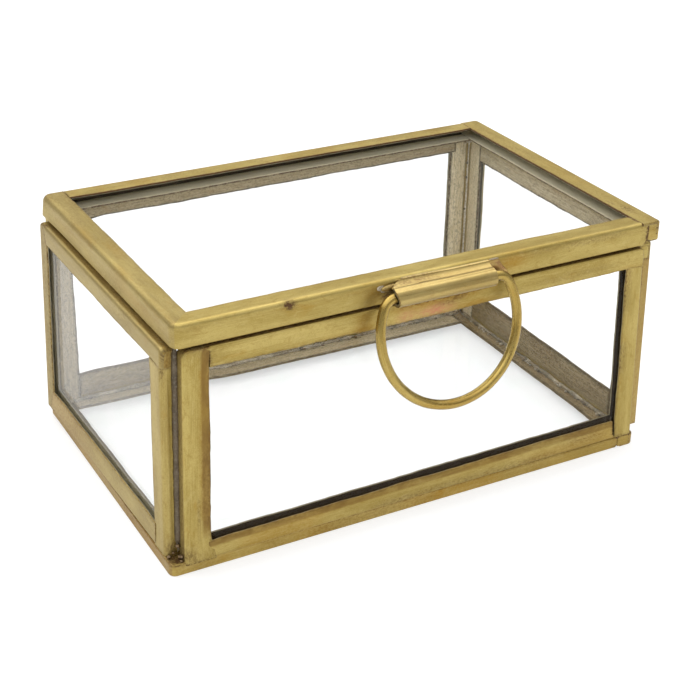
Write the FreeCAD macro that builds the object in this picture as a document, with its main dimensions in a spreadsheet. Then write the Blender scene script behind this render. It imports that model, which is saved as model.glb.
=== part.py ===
import FreeCAD, Part
import math
import os
import Sketcher

# Small brass-and-glass jewelry box, millimetres.
# X runs along the box, the front faces -Y, +Z is up, and the origin lies under the
# middle of the whole, from the ring at the front to the hinge at the back, on the
# surface that it stands on. Lengths along Y are counted from the middle of the walls,
# and frame_shift then carries everything back to that origin.
# Every wall, the base and the lid is a glass pane edged with folded brass channel.

V = FreeCAD.Vector
doc = FreeCAD.newDocument("JewelryBox")

# ---------------------------------------------------------------- driving dimensions
SIZES = [
    ("box_length", 100.0),         # over the outer faces of the end walls
    ("box_width", 64.5),           # over the outer faces of the front and back walls
    ("wall_top", 42.4),            # height of the walls' upper edge
    ("wall_thick", 2.9),           # channel over its two flanges
    ("base_thick", 2.4),
    ("base_inset", 0.8),           # base frame set back from the walls' outer faces
    ("sheet_thick", 0.4),          # folded brass sheet
    ("fold_radius", 0.6),          # outer radius of a fold
    ("wall_glass_thick", 2.0),
    ("base_glass_thick", 1.5),
    ("lid_glass_thick", 3.0),
    ("edge_room", 0.5),            # from a pane's edge to the channel's web
    ("stile_width", 4.8),
    ("top_width", 3.5),
    ("bottom_width", 4.4),
    ("base_end_width", 4.8),       # base strips under the end walls
    ("base_long_width", 6.0),      # base strips under the front and back walls
    ("seat_gap", 0.05),            # solder film between the walls and the base
    ("lid_gap", 0.5),              # dark line between lid and walls
    ("lid_height", 4.4),
    ("lid_left", 2.0),             # lid set in from the walls' outer faces
    ("lid_right", 0.7),
    ("lid_front", 0.5),
    ("lid_back", 2.0),
    ("lid_width", 4.1),
    ("seam_radius", 1.3),          # solder in the open upright corners
    ("fillet_radius", 0.8),        # solder along the inner bottom edges
    ("frame_shift", 2.05),         # middle of the walls behind the origin
    ("pull_x", 1.8),               # handle a little right of the middle
    ("pull_y", -33.8),
    ("pull_z", 44.7),
    ("wire_radius", 1.0),
    ("roll_bore", 1.1),
    ("roll_radius", 1.7),
    ("roll_length", 20.2),
    ("plate_shift", 0.7),          # plate set to the right of the roll
    ("plate_length", 23.6),
    ("plate_low", 43.5),
    ("plate_high", 47.0),
    ("plate_thick", 0.5),
    ("ring_radius", 13.6),         # centre line of the big arc
    ("ring_drop", 7.1),            # arc centre below the straight side
    ("ring_bend", 2.55),
    ("ring_lean", 13.408),         # degrees that the ring stands out at rest, held in its roll
    ("blob_radius", 1.6),
    ("blob_height", 0.5),
    ("hinge_y", 34.0),
    ("hinge_z", 42.65),
    ("knuckle_radius", 1.5),
    ("knuckle_bore", 0.85),
    ("pin_radius", 0.8),
    ("lid_knuckle_length", 36.0),
    ("wall_knuckle_length", 8.0),
    ("knuckle_gap", 0.3),
    ("pin_stand", 0.7),            # pin past the outer knuckles
    ("leaf_thick", 0.5),
    ("leaf_high", 46.6),
    ("leaf_low", 37.4),
]
sheet = doc.addObject("Spreadsheet::Sheet", "Sizes")
for row, (alias, value) in enumerate(SIZES, start=1):
    sheet.set("A%d" % row, alias)
    sheet.set("B%d" % row, str(value))
    sheet.setAlias("B%d" % row, alias)
doc.recompute()
S = {alias: float(sheet.get(alias)) for alias, _ in SIZES}


def expr(text):
    """Turn plain names of the sheet into references to it."""
    out = text
    for alias in sorted(S, key=len, reverse=True):
        out = out.replace("$" + alias, "Sizes." + alias)
    return out


# Often used lengths, written once.
HALF_X = "($box_length / 2)"
HALF_Y = "($box_width / 2)"
IN_X = "($box_length / 2 - $wall_thick)"       # inner face of the end walls
IN_Y = "($box_width / 2 - $wall_thick)"        # inner face of the long walls
FOOT = "($base_thick + $seat_gap)"             # lower edge of the walls
TOP = "$wall_top"
BASE_X = "($box_length / 2 - $base_inset)"
BASE_Y = "($box_width / 2 - $base_inset)"
LID_L = "($box_length / 2 - $lid_left)"
LID_R = "($box_length / 2 - $lid_right)"
LID_F = "($box_width / 2 - $lid_front)"
LID_B = "($box_width / 2 - $lid_back)"
LID_Z = "($wall_top + $lid_gap)"

NODES = []


def put(obj, x, y, z, xdir=None, ydir=None):
    """Place an object; its position follows the sheet, its axes are given."""
    if xdir is not None:
        xv, yv = V(*xdir), V(*ydir)
        obj.Placement = FreeCAD.Placement(V(0, 0, 0), FreeCAD.Rotation(xv, yv, xv.cross(yv), "XYZ"))
    obj.setExpression("Placement.Base.x", expr(x))
    obj.setExpression("Placement.Base.y", expr(y + " + $frame_shift"))
    obj.setExpression("Placement.Base.z", expr(z))
    return obj


def node(obj, label):
    obj.Label = label
    NODES.append((label, obj))
    return obj


def plane(body, role):
    return [f for f in body.Origin.OriginFeatures if f.Role == role][0]


def sketch_on(body, role, name):
    sk = body.newObject("Sketcher::SketchObject", name)
    sk.AttachmentSupport = (plane(body, role), [""])
    sk.MapMode = "FlatFace"
    return sk


def bind(sk, constraint, name, text):
    index = sk.addConstraint(constraint)
    sk.renameConstraint(index, name)
    sk.setExpression("Constraints." + name, expr(text))


def rectangle(sk, x0, y0, x1, y1):
    """Upright rectangle in a sketch, lines 0..3 from the low corner; returns nothing."""
    pts = [(x0, y0), (x1, y0), (x1, y1), (x0, y1)]
    for i in range(4):
        a, b = pts[i], pts[(i + 1) % 4]
        sk.addGeometry(Part.LineSegment(V(a[0], a[1], 0), V(b[0], b[1], 0)), False)
    for i in range(4):
        sk.addConstraint(Sketcher.Constraint("Coincident", i, 2, (i + 1) % 4, 1))
    for i in range(4):
        sk.addConstraint(Sketcher.Constraint("Horizontal" if i % 2 == 0 else "Vertical", i))


CHANNELS = []


def channel(label, thick, width, length, x, y, z, xdir, ydir, caps=(False, False)):
    """Folded brass channel: web at local y = 0, flanges towards +y, length along local z.

    The two folds are rounded; a cap is a tab folded over that end of the channel.
    """
    body = doc.addObject("PartDesign::Body", label)
    bar = sketch_on(body, "XY_Plane", label + "_bar")
    rectangle(bar, 0, 0, 3, 4)
    bar.addConstraint(Sketcher.Constraint("Coincident", 0, 1, -1, 1))
    bind(bar, Sketcher.Constraint("DistanceX", 0, 1, 0, 2, 3), "thick", thick)
    bind(bar, Sketcher.Constraint("DistanceY", 1, 1, 1, 2, 4), "width", width)
    pad = body.newObject("PartDesign::Pad", label + "_pad")
    pad.Profile = bar
    pad.setExpression("Length", expr(length))
    doc.recompute()
    folds = []
    for i, e in enumerate(pad.Shape.Edges, start=1):
        p, q = e.Vertexes[0].Point, e.Vertexes[-1].Point
        if abs(p.z - q.z) > 1 and abs(p.y) < 1e-6 and abs(q.y) < 1e-6:
            folds.append("Edge%d" % i)
    fold = body.newObject("PartDesign::Fillet", label + "_folds")
    fold.Base = (pad, folds)
    fold.setExpression("Radius", expr("$fold_radius"))
    doc.recompute()
    low = "$sheet_thick" if caps[0] else "0"
    high = "$sheet_thick" if caps[1] else "0"
    slot = sketch_on(body, "XY_Plane", label + "_slot")
    slot.setExpression("AttachmentOffset.Base.z", expr(low))
    rectangle(slot, 0.5, 0.5, 2.5, 4)
    bind(slot, Sketcher.Constraint("DistanceX", -1, 1, 0, 1, 0.5), "flange_a", "$sheet_thick")
    bind(slot, Sketcher.Constraint("DistanceY", -1, 1, 0, 1, 0.5), "web", "$sheet_thick")
    bind(slot, Sketcher.Constraint("DistanceX", 0, 1, 0, 2, 2), "inside", thick + " - 2 * $sheet_thick")
    bind(slot, Sketcher.Constraint("DistanceY", 1, 1, 1, 2, 3.5), "depth", width + " - $sheet_thick")
    room = body.newObject("PartDesign::Pocket", label + "_room")
    room.Profile = slot
    room.Reversed = True
    room.setExpression("Length", expr(length + " - " + low + " - " + high))
    bar.Visibility = slot.Visibility = False
    put(body, x, y, z, xdir, ydir)
    CHANNELS.append((label, pad, room, sum(caps)))
    return node(body, label)


def pane(label, dx, dy, dz, x, y, z):
    """Glass pane: a plain sheet with its low corner at x, y, z."""
    box = doc.addObject("Part::Box", label)
    box.setExpression("Length", expr(dx))
    box.setExpression("Width", expr(dy))
    box.setExpression("Height", expr(dz))
    put(box, x, y, z)
    return node(box, label)


def box(name, dx, dy, dz, x, y, z):
    b = doc.addObject("Part::Box", name)
    b.setExpression("Length", expr(dx))
    b.setExpression("Width", expr(dy))
    b.setExpression("Height", expr(dz))
    return put(b, x, y, z)


def rod(name, radius, length, x, y, z):
    """Round bar along +X from x."""
    c = doc.addObject("Part::Cylinder", name)
    c.setExpression("Radius", expr(radius))
    c.setExpression("Height", expr(length))
    return put(c, x, y, z, (0, 1, 0), (0, 0, 1))


def fuse(name, *shapes):
    f = doc.addObject("Part::MultiFuse", name)
    f.Shapes = list(shapes)
    return f


def cut(name, base, tool):
    c = doc.addObject("Part::Cut", name)
    c.Base = base
    c.Tool = tool
    return c


PX, NX = (1, 0, 0), (-1, 0, 0)
PY, NY = (0, 1, 0), (0, -1, 0)
PZ, NZ = (0, 0, 1), (0, 0, -1)

# ---------------------------------------------------------------- wall frames
# Front wall: the left stile runs to the top, the top rail runs over the right stile,
# and the bottom rail stands between the stiles. The back wall is the same, turned round.
WT, SW, TW, BW = "$wall_thick", "$stile_width", "$top_width", "$bottom_width"
TALL = TOP + " - " + FOOT
channel("front_stile_left", WT, SW, TALL, "-" + IN_X, "-" + HALF_Y, TOP, PY, PX, (True, False))
channel("front_stile_right", WT, SW, TALL + " - " + TW, IN_X, "-" + HALF_Y, FOOT, PY, NX)
channel("front_rail_top", WT, TW, "2 * " + IN_X + " - " + SW, IN_X, "-" + HALF_Y, TOP, PY, NZ, (True, False))
channel("front_rail_bottom", WT, BW, "2 * " + IN_X + " - 2 * " + SW, "-" + IN_X + " + " + SW, "-" + HALF_Y, FOOT, PY, PZ)
channel("back_stile_right", WT, SW, TALL, IN_X, HALF_Y, TOP, NY, NX, (True, False))
channel("back_stile_left", WT, SW, TALL + " - " + TW, "-" + IN_X, HALF_Y, FOOT, NY, PX)
channel("back_rail_top", WT, TW, "2 * " + IN_X + " - " + SW, "-" + IN_X, HALF_Y, TOP, NY, NZ, (True, False))
channel("back_rail_bottom", WT, BW, "2 * " + IN_X + " - 2 * " + SW, IN_X + " - " + SW, HALF_Y, FOOT, NY, PZ)
# End walls: the top rail runs from corner to corner, the stiles stand below it and the
# bottom rail fits between them.
for side, hx, tx in (("left", "-" + HALF_X, PX), ("right", HALF_X, NX)):
    s = 1 if side == "left" else -1
    channel(side + "_stile_front", WT, SW, TALL + " - " + TW, hx, "-" + IN_Y,
            FOOT if s > 0 else TOP + " - " + TW, tx, PY)
    channel(side + "_stile_back", WT, SW, TALL + " - " + TW, hx, IN_Y,
            TOP + " - " + TW if s > 0 else FOOT, tx, NY)
    channel(side + "_rail_top", WT, TW, "2 * " + IN_Y, hx, "-" + IN_Y if s > 0 else IN_Y, TOP, tx, NZ, (True, True))
    channel(side + "_rail_bottom", WT, BW, "2 * " + IN_Y + " - 2 * " + SW, hx,
            IN_Y + " - " + SW if s > 0 else "-" + IN_Y + " + " + SW, FOOT, tx, PZ)

# ---------------------------------------------------------------- base frame
channel("base_strip_left", "$base_thick", "$base_end_width", "2 * " + BASE_Y, "-" + BASE_X, "-" + BASE_Y, "0", PZ, PX, (True, True))
channel("base_strip_right", "$base_thick", "$base_end_width", "2 * " + BASE_Y, BASE_X, BASE_Y, "0", PZ, NX, (True, True))
LONG_BASE = "2 * " + BASE_X + " - 2 * $base_end_width"
channel("base_strip_front", "$base_thick", "$base_long_width", LONG_BASE, BASE_X + " - $base_end_width", "-" + BASE_Y, "0", PZ, PY)
channel("base_strip_back", "$base_thick", "$base_long_width", LONG_BASE, "-" + BASE_X + " + $base_end_width", BASE_Y, "0", PZ, NY)

# ---------------------------------------------------------------- lid frame
DEEP_LID = LID_F + " + " + LID_B
channel("lid_strip_left", "$lid_height", "$lid_width", DEEP_LID, "-" + LID_L, "-" + LID_F, LID_Z, PZ, PX, (True, True))
channel("lid_strip_right", "$lid_height", "$lid_width", DEEP_LID, LID_R, LID_B, LID_Z, PZ, NX, (True, True))
LONG_LID = LID_L + " + " + LID_R + " - 2 * $lid_width"
channel("lid_strip_front", "$lid_height", "$lid_width", LONG_LID, LID_R + " - $lid_width", "-" + LID_F, LID_Z, PZ, PY)
channel("lid_strip_back", "$lid_height", "$lid_width", LONG_LID, "-" + LID_L + " + $lid_width", LID_B, LID_Z, PZ, NY)

# At each corner of a frame one channel runs past with a tab folded over its end, and the
# other one butts against its flanges.

# ---------------------------------------------------------------- glass
ROOM = "($sheet_thick + $edge_room)"
GLASS_LIFT = "(($wall_thick - $wall_glass_thick) / 2)"
pane("front_glass", "2 * (" + IN_X + " - " + ROOM + ")", "$wall_glass_thick", TALL + " - 2 * " + ROOM,
     "-" + IN_X + " + " + ROOM, "-" + HALF_Y + " + " + GLASS_LIFT, FOOT + " + " + ROOM)
pane("back_glass", "2 * (" + IN_X + " - " + ROOM + ")", "$wall_glass_thick", TALL + " - 2 * " + ROOM,
     "-" + IN_X + " + " + ROOM, IN_Y + " + " + GLASS_LIFT, FOOT + " + " + ROOM)
pane("left_glass", "$wall_glass_thick", "2 * (" + IN_Y + " - " + ROOM + ")", TALL + " - 2 * " + ROOM,
     "-" + HALF_X + " + " + GLASS_LIFT, "-" + IN_Y + " + " + ROOM, FOOT + " + " + ROOM)
pane("right_glass", "$wall_glass_thick", "2 * (" + IN_Y + " - " + ROOM + ")", TALL + " - 2 * " + ROOM,
     IN_X + " + " + GLASS_LIFT, "-" + IN_Y + " + " + ROOM, FOOT + " + " + ROOM)
pane("base_glass", "2 * (" + BASE_X + " - " + ROOM + ")", "2 * (" + BASE_Y + " - " + ROOM + ")", "$base_glass_thick",
     "-" + BASE_X + " + " + ROOM, "-" + BASE_Y + " + " + ROOM, "($base_thick - $base_glass_thick) / 2")
pane("lid_glass", LID_L + " + " + LID_R + " - 2 * " + ROOM, DEEP_LID + " - 2 * " + ROOM, "$lid_glass_thick",
     "-" + LID_L + " + " + ROOM, "-" + LID_F + " + " + ROOM, LID_Z + " + ($lid_height - $lid_glass_thick) / 2")

# ---------------------------------------------------------------- solder seams
# A quarter-round bead fills the foot of each open upright corner.
for label, x, y, xdir, ydir, z in (
    ("corner_seam_front_left", "-" + IN_X, "-" + IN_Y, NX, NY, FOOT),
    ("corner_seam_front_right", IN_X, "-" + IN_Y, NY, PX, FOOT),
    ("corner_seam_back_right", IN_X, IN_Y, PX, PY, FOOT),
    ("corner_seam_back_left", "-" + IN_X, IN_Y, PY, NX, FOOT),
):
    c = doc.addObject("Part::Cylinder", label)
    c.Angle = 90
    c.setExpression("Radius", expr("$seam_radius"))
    c.setExpression("Height", expr(TALL + " - 0.3"))
    node(put(c, x, y, z, xdir, ydir), label)
# Quarter-round fillets along the inner bottom edges; the end ones run corner to corner.
SEAM_X = "2 * (" + IN_X + " - $fillet_radius)"
SEAM_Y = "2 * " + IN_Y
for label, length, x, y, xdir, ydir in (
    ("base_seam_front", SEAM_X, "-" + IN_X + " + $fillet_radius", "-" + IN_Y, PY, PZ),
    ("base_seam_back", SEAM_X, IN_X + " - $fillet_radius", IN_Y, NY, PZ),
    ("base_seam_left", SEAM_Y, "-" + IN_X, IN_Y, PX, PZ),
    ("base_seam_right", SEAM_Y, IN_X, "-" + IN_Y, NX, PZ),
):
    c = doc.addObject("Part::Cylinder", label)
    c.Angle = 90
    c.setExpression("Radius", expr("$fillet_radius"))
    c.setExpression("Height", expr(length))
    node(put(c, x, y, "$base_thick", xdir, ydir), label)

# ---------------------------------------------------------------- handle bracket
# A sheet plate on the lid's front whose upper part turns outward and rolls round the wire.
plate = box("bracket_plate", "$plate_length", "$plate_thick", "$plate_high - $plate_low",
            "$pull_x + $plate_shift - $plate_length / 2", "-" + LID_F + " - $plate_thick", "$plate_low")
roll = rod("bracket_roll", "$roll_radius", "$roll_length", "$pull_x - $roll_length / 2", "$pull_y", "$pull_z")
tail = box("bracket_tail", "$roll_length", "-" + LID_F + " - $pull_y", "$plate_thick",
           "$pull_x - $roll_length / 2", "$pull_y", "$pull_z + $roll_radius - $plate_thick")
bore = rod("bracket_bore", "$roll_bore", "$roll_length + 2", "$pull_x - $roll_length / 2 - 1", "$pull_y", "$pull_z")
node(cut("handle_bracket", fuse("bracket_sheet", plate, roll, tail), bore), "handle_bracket")

# Two low solder caps on the lid's front, at the ends of the plate.
caps = []
for i, sx in enumerate((-1, 1)):
    ball = doc.addObject("Part::Sphere", "solder_ball_%d" % i)
    ball.setExpression("Radius", expr("$blob_radius"))
    put(ball, "$pull_x + $plate_shift + %d * ($plate_length / 2 + $blob_radius * 0.8)" % sx,
        "-" + LID_F + " - $blob_height + $blob_radius", "$pull_z + 1.3")
    slab = box("solder_slab_%d" % i, "4 * $blob_radius", "$blob_height", "4 * $blob_radius",
               "$pull_x + $plate_shift + %d * ($plate_length / 2 + $blob_radius * 0.8) - 2 * $blob_radius" % sx,
               "-" + LID_F + " - $blob_height", "$pull_z + 1.3 - 2 * $blob_radius")
    cap = doc.addObject("Part::Common", "solder_cap_%d" % i)
    cap.Base = ball
    cap.Tool = slab
    caps.append(cap)
pair = doc.addObject("Part::Compound", "handle_solder")
pair.Links = caps
node(pair, "handle_solder")

# ---------------------------------------------------------------- ring pull
# One bent wire: a straight side in the roll, two small bends, and a big arc below.
ring = doc.addObject("PartDesign::Body", "ring_pull")
R, D, B, WR = S["ring_radius"], S["ring_drop"], S["ring_bend"], S["wire_radius"]
ux = math.sqrt((R - B) ** 2 - (D - B) ** 2)
tx, tz = R * ux / (R - B), -D + R * (D - B) / (R - B)
path = sketch_on(ring, "XZ_Plane", "ring_path")
ang = math.atan2(D - B, ux)
g_line = path.addGeometry(Part.LineSegment(V(-ux, 0, 0), V(ux, 0, 0)), False)
g_right = path.addGeometry(Part.ArcOfCircle(Part.Circle(V(ux, -B, 0), V(0, 0, 1), B), ang, math.pi / 2), False)
g_big = path.addGeometry(Part.ArcOfCircle(Part.Circle(V(0, -D, 0), V(0, 0, 1), R), math.pi - ang, 2 * math.pi + ang), False)
g_left = path.addGeometry(Part.ArcOfCircle(Part.Circle(V(-ux, -B, 0), V(0, 0, 1), B), math.pi / 2, math.pi - ang), False)
path.addConstraint(Sketcher.Constraint("Tangent", g_line, 2, g_right, 2))
path.addConstraint(Sketcher.Constraint("Tangent", g_right, 1, g_big, 2))
path.addConstraint(Sketcher.Constraint("Tangent", g_big, 1, g_left, 2))
path.addConstraint(Sketcher.Constraint("Tangent", g_left, 1, g_line, 1))
path.addConstraint(Sketcher.Constraint("Equal", g_left, g_right))
path.addConstraint(Sketcher.Constraint("PointOnObject", g_big, 3, -2))
path.addConstraint(Sketcher.Constraint("PointOnObject", g_line, 1, -1))
bind(path, Sketcher.Constraint("Radius", g_right, B), "bend", "$ring_bend")
bind(path, Sketcher.Constraint("Radius", g_big, R), "radius", "$ring_radius")
bind(path, Sketcher.Constraint("DistanceY", g_big, 3, -1, 1, D), "drop", "$ring_drop")
doc.recompute()
wire = sketch_on(ring, "YZ_Plane", "ring_section")
wire.addGeometry(Part.Circle(V(0, 0, 0), V(0, 0, 1), WR), False)
wire.addConstraint(Sketcher.Constraint("Coincident", 0, 3, -1, 1))
bind(wire, Sketcher.Constraint("Radius", 0, WR), "wire", "$wire_radius")
pipe = ring.newObject("PartDesign::AdditivePipe", "ring_pipe")
pipe.Profile = wire
pipe.Spine = (path, [])
put(ring, "$pull_x - 0.1", "$pull_y", "$pull_z", PX, PY)
ring.setExpression("Placement.Rotation.Pitch", "0")
ring.setExpression("Placement.Rotation.Yaw", "0")
ring.setExpression("Placement.Rotation.Roll", expr("-$ring_lean"))
node(ring, "ring_pull")

# ---------------------------------------------------------------- hinge
# Rolled knuckles on a wire pin behind the back wall, each with a leaf soldered flat.
KL, KW, KG = "$lid_knuckle_length", "$wall_knuckle_length", "$knuckle_gap"
lid_roll = rod("lid_knuckle_roll", "$knuckle_radius", KL, "-" + KL + " / 2", "$hinge_y", "$hinge_z")
lid_leaf = box("lid_knuckle_leaf", KL, "$leaf_thick", "$leaf_high - ($hinge_z + $knuckle_radius - $leaf_thick)",
               "-" + KL + " / 2", LID_B, "$hinge_z + $knuckle_radius - $leaf_thick")
lid_tail = box("lid_knuckle_tail", KL, "$hinge_y - " + LID_B, "$leaf_thick",
               "-" + KL + " / 2", LID_B, "$hinge_z + $knuckle_radius - $leaf_thick")
lid_bore = rod("lid_knuckle_bore", "$knuckle_bore", KL + " + 2", "-" + KL + " / 2 - 1", "$hinge_y", "$hinge_z")
node(cut("hinge_knuckle_lid", fuse("lid_knuckle_sheet", lid_roll, lid_leaf, lid_tail), lid_bore), "hinge_knuckle_lid")
for side, start in (("left", "-" + KL + " / 2 - " + KG + " - " + KW), ("right", KL + " / 2 + " + KG)):
    n = "wall_knuckle_" + side
    w_roll = rod(n + "_roll", "$knuckle_radius", KW, start, "$hinge_y", "$hinge_z")
    w_leaf = box(n + "_leaf", KW, "$leaf_thick", "$hinge_z - $knuckle_radius + $leaf_thick - $leaf_low",
                 start, HALF_Y, "$leaf_low")
    w_tail = box(n + "_tail", KW, "$hinge_y - " + HALF_Y, "$leaf_thick", start, HALF_Y,
                 "$hinge_z - $knuckle_radius")
    w_bore = rod(n + "_bore", "$knuckle_bore", KW + " + 2", start + " - 1", "$hinge_y", "$hinge_z")
    node(cut("hinge_knuckle_" + side, fuse(n + "_sheet", w_roll, w_leaf, w_tail), w_bore), "hinge_knuckle_" + side)
PIN = "(" + KL + " + 2 * " + KG + " + 2 * " + KW + " + 2 * $pin_stand)"
node(rod("hinge_pin", "$pin_radius", PIN, "-" + PIN + " / 2", "$hinge_y", "$hinge_z"), "hinge_pin")

# ---------------------------------------------------------------- recompute, test, write
doc.recompute()
bad = [o.Label for o in doc.Objects if "Invalid" in o.State or "Error" in o.State]
if bad:
    raise RuntimeError("objects failed: " + ", ".join(bad))
for label, obj in NODES:
    if obj.Shape.isNull() or not obj.Shape.isValid() or not obj.Shape.Solids:
        raise RuntimeError("bad shape: " + label)
for label, pad, room, caps in CHANNELS:
    size = pad.Shape.BoundBox
    inner = (size.XLength - 2 * S["sheet_thick"]) * (size.YLength - S["sheet_thick"]) * (
        size.ZLength - caps * S["sheet_thick"])
    want = pad.Shape.Volume - inner - 2 * (1 - math.pi / 4) * S["fold_radius"] ** 2 * size.ZLength
    if abs(room.Shape.Volume - want) > 0.01 * want:
        raise RuntimeError("channel not hollowed as meant: %s %.1f %.1f" % (label, room.Shape.Volume, want))
big_angle = math.pi + 2 * ang
wire_length = 2 * ux + 2 * B * (math.pi / 2 - ang) + R * big_angle
ratio = ring.Shape.Volume / (math.pi * WR ** 2 * wire_length)
print("ring volume over section times length: %.4f" % ratio)
if abs(ratio - 1) > 0.01:
    raise RuntimeError("the ring's sweep is not whole")
os.makedirs("parts", exist_ok=True)
for label, obj in NODES:
    obj.Shape.exportStep(os.path.join("parts", label + ".step"))
total = Part.Compound([obj.Shape for _, obj in NODES]).BoundBox
print("%d nodes, x %.2f..%.2f y %.2f..%.2f z %.2f..%.2f" % (
    len(NODES), total.XMin, total.XMax, total.YMin, total.YMax, total.ZMin, total.ZMax))
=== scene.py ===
import math

import bmesh
import bpy
import numpy as np
from mathutils import Matrix, Vector


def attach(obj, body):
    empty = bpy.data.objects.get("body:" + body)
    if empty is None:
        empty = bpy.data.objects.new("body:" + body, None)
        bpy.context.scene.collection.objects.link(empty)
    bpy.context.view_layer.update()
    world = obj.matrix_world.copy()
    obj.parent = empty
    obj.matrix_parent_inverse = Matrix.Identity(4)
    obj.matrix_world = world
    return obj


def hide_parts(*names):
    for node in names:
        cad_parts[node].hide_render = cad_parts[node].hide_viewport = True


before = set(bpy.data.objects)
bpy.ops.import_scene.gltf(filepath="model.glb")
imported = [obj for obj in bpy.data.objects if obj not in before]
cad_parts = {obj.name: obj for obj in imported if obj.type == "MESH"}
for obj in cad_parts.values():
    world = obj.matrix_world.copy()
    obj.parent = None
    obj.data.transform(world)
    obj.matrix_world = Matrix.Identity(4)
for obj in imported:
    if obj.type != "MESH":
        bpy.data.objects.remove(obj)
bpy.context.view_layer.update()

# Small brass-and-glass jewelry box: the finish of every piece.
# Lengths are millimetres, counted from the middle of the walls along Y (the front faces
# -Y); SHIFT carries them to the part's origin, and MM to metres.
MM = 0.001
SHIFT = 2.05

# ------------------------------------------------------------------ small helpers


def cells(ix, iy, iz, seed):
    h = (ix * 374761393 + iy * 668265263 + iz * 1440662683 + seed * 974711 + 12345) & 0xFFFFFFFF
    h = ((h ^ (h >> 13)) * 1274126177) & 0xFFFFFFFF
    h = ((h ^ (h >> 16)) * 2246822519) & 0xFFFFFFFF
    h = h ^ (h >> 15)
    return (h & 0xFFFF) / 32767.5 - 1.0


def noise(x, y=0.0, z=0.0, seed=0):
    """Smooth noise from -1 to 1 on a unit grid."""
    x, y, z = np.broadcast_arrays(np.asarray(x, float), np.asarray(y, float), np.asarray(z, float))
    fx, fy, fz = np.floor(x), np.floor(y), np.floor(z)
    ix, iy, iz = fx.astype(np.int64), fy.astype(np.int64), fz.astype(np.int64)
    tx, ty, tz = x - fx, y - fy, z - fz
    tx, ty, tz = (t * t * t * (t * (t * 6 - 15) + 10) for t in (tx, ty, tz))
    out = 0.0
    for dx in (0, 1):
        for dy in (0, 1):
            for dz in (0, 1):
                wgt = (tx if dx else 1 - tx) * (ty if dy else 1 - ty) * (tz if dz else 1 - tz)
                out = out + wgt * cells(ix + dx, iy + dy, iz + dz, seed)
    return out


def fbm(x, y=0.0, z=0.0, seed=0, octaves=3):
    total, amp, norm = 0.0, 1.0, 0.0
    for k in range(octaves):
        f = 2.03 ** k
        total = total + amp * noise(np.asarray(x) * f, np.asarray(y) * f, np.asarray(z) * f, seed + 17 * k)
        norm += amp
        amp *= 0.5
    return total / norm


def ease(x):
    x = np.clip(x, 0.0, 1.0)
    return x * x * (3 - 2 * x)


def blob(p, centre, radii):
    d = (p - np.array(centre)) / np.array(radii)
    return np.exp(-np.sum(d * d, axis=-1))


class Shell:
    """Collects closed shells of one piece, with what its finish needs at each vertex."""

    def __init__(self):
        self.v, self.f, self.along, self.mask, self.tone = [], [], [], [], []
        self.n = 0

    def add(self, verts, faces, along=None, mask=None, tone=None):
        verts = np.asarray(verts, float).reshape(-1, 3)
        m = len(verts)
        self.v.append(verts)
        self.f.extend(tuple(int(i) + self.n for i in face) for face in faces)
        self.along.append(verts if along is None else np.asarray(along, float).reshape(-1, 3))
        self.mask.append(np.zeros((m, 4)) if mask is None else np.asarray(mask, float).reshape(-1, 4))
        self.tone.append(np.zeros((m, 4)) if tone is None else np.asarray(tone, float).reshape(-1, 4))
        self.n += m

    def piece(self, name, body, slot, material, *nodes, sharp=38, bend=None):
        v = np.concatenate(self.v)
        if bend is not None:
            v = bend(v)
        co = (v + np.array([0.0, SHIFT, 0.0])) * MM
        me = bpy.data.meshes.new(name)
        me.from_pydata(co.tolist(), [], self.f)
        bm = bmesh.new()
        bm.from_mesh(me)
        bmesh.ops.recalc_face_normals(bm, faces=bm.faces)
        bm.to_mesh(me)
        bm.free()
        a = me.attributes.new("along", "FLOAT_VECTOR", "POINT")
        a.data.foreach_set("vector", np.concatenate(self.along).ravel())
        for key, rows in (("mask", self.mask), ("tone", self.tone)):
            a = me.attributes.new(key, "FLOAT_COLOR", "POINT")
            a.data.foreach_set("color", np.concatenate(rows).ravel())
        me.polygons.foreach_set("use_smooth", [True] * len(me.polygons))
        me.set_sharp_from_angle(angle=math.radians(sharp))
        me.materials.append(material)
        me.update()
        ob = bpy.data.objects.new(name, me)
        bpy.context.scene.collection.objects.link(ob)
        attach(ob, body)
        if nodes:
            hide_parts(*nodes)
        return ob


def loop_faces(rings, n, closed=False):
    """Quads between rings of n vertices each."""
    out = []
    for i in range(rings if closed else rings - 1):
        a, b = i * n, ((i + 1) % rings) * n
        for j in range(n):
            k = (j + 1) % n
            out.append((a + j, a + k, b + k, b + j))
    return out


# ------------------------------------------------------------------ folded brass channel


def round_in(e, rc):
    """How far the web stands in at distance e from a rounded end."""
    if rc <= 0:
        return np.zeros_like(e)
    t = np.clip(rc - e, 0, rc)
    return rc - np.sqrt(np.maximum(rc * rc - t * t, 0))


def end_offset(style, v, part, width):
    """Distance from the strip's nominal end to its real end, for points at depth v."""
    kind = style[0]
    if kind == "mitre":
        rc, slope = style[1], style[2]
        lo, hi = np.zeros_like(v), np.full_like(v, width * slope * 1.5 + rc)
        for _ in range(40):
            mid = (lo + hi) / 2
            s = round_in(mid, rc)
            w = slope * (s + v * (width - s) / width)
            lo, hi = np.where(mid < w, mid, lo), np.where(mid < w, hi, mid)
        return (lo + hi) / 2
    if kind == "butt":
        oa, ow, ob = style[1:4]
        slant = style[4] if len(style) > 4 else 0.0
        fold = style[5] if len(style) > 5 else (oa + ow) / 2
        base = np.select([part == 0, part == 1, part == 2, part == 3], [oa, fold, ow, (ow + ob) / 2], ob)
        return base + slant * (v / width) * (part <= 1)
    return np.zeros_like(v)


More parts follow.
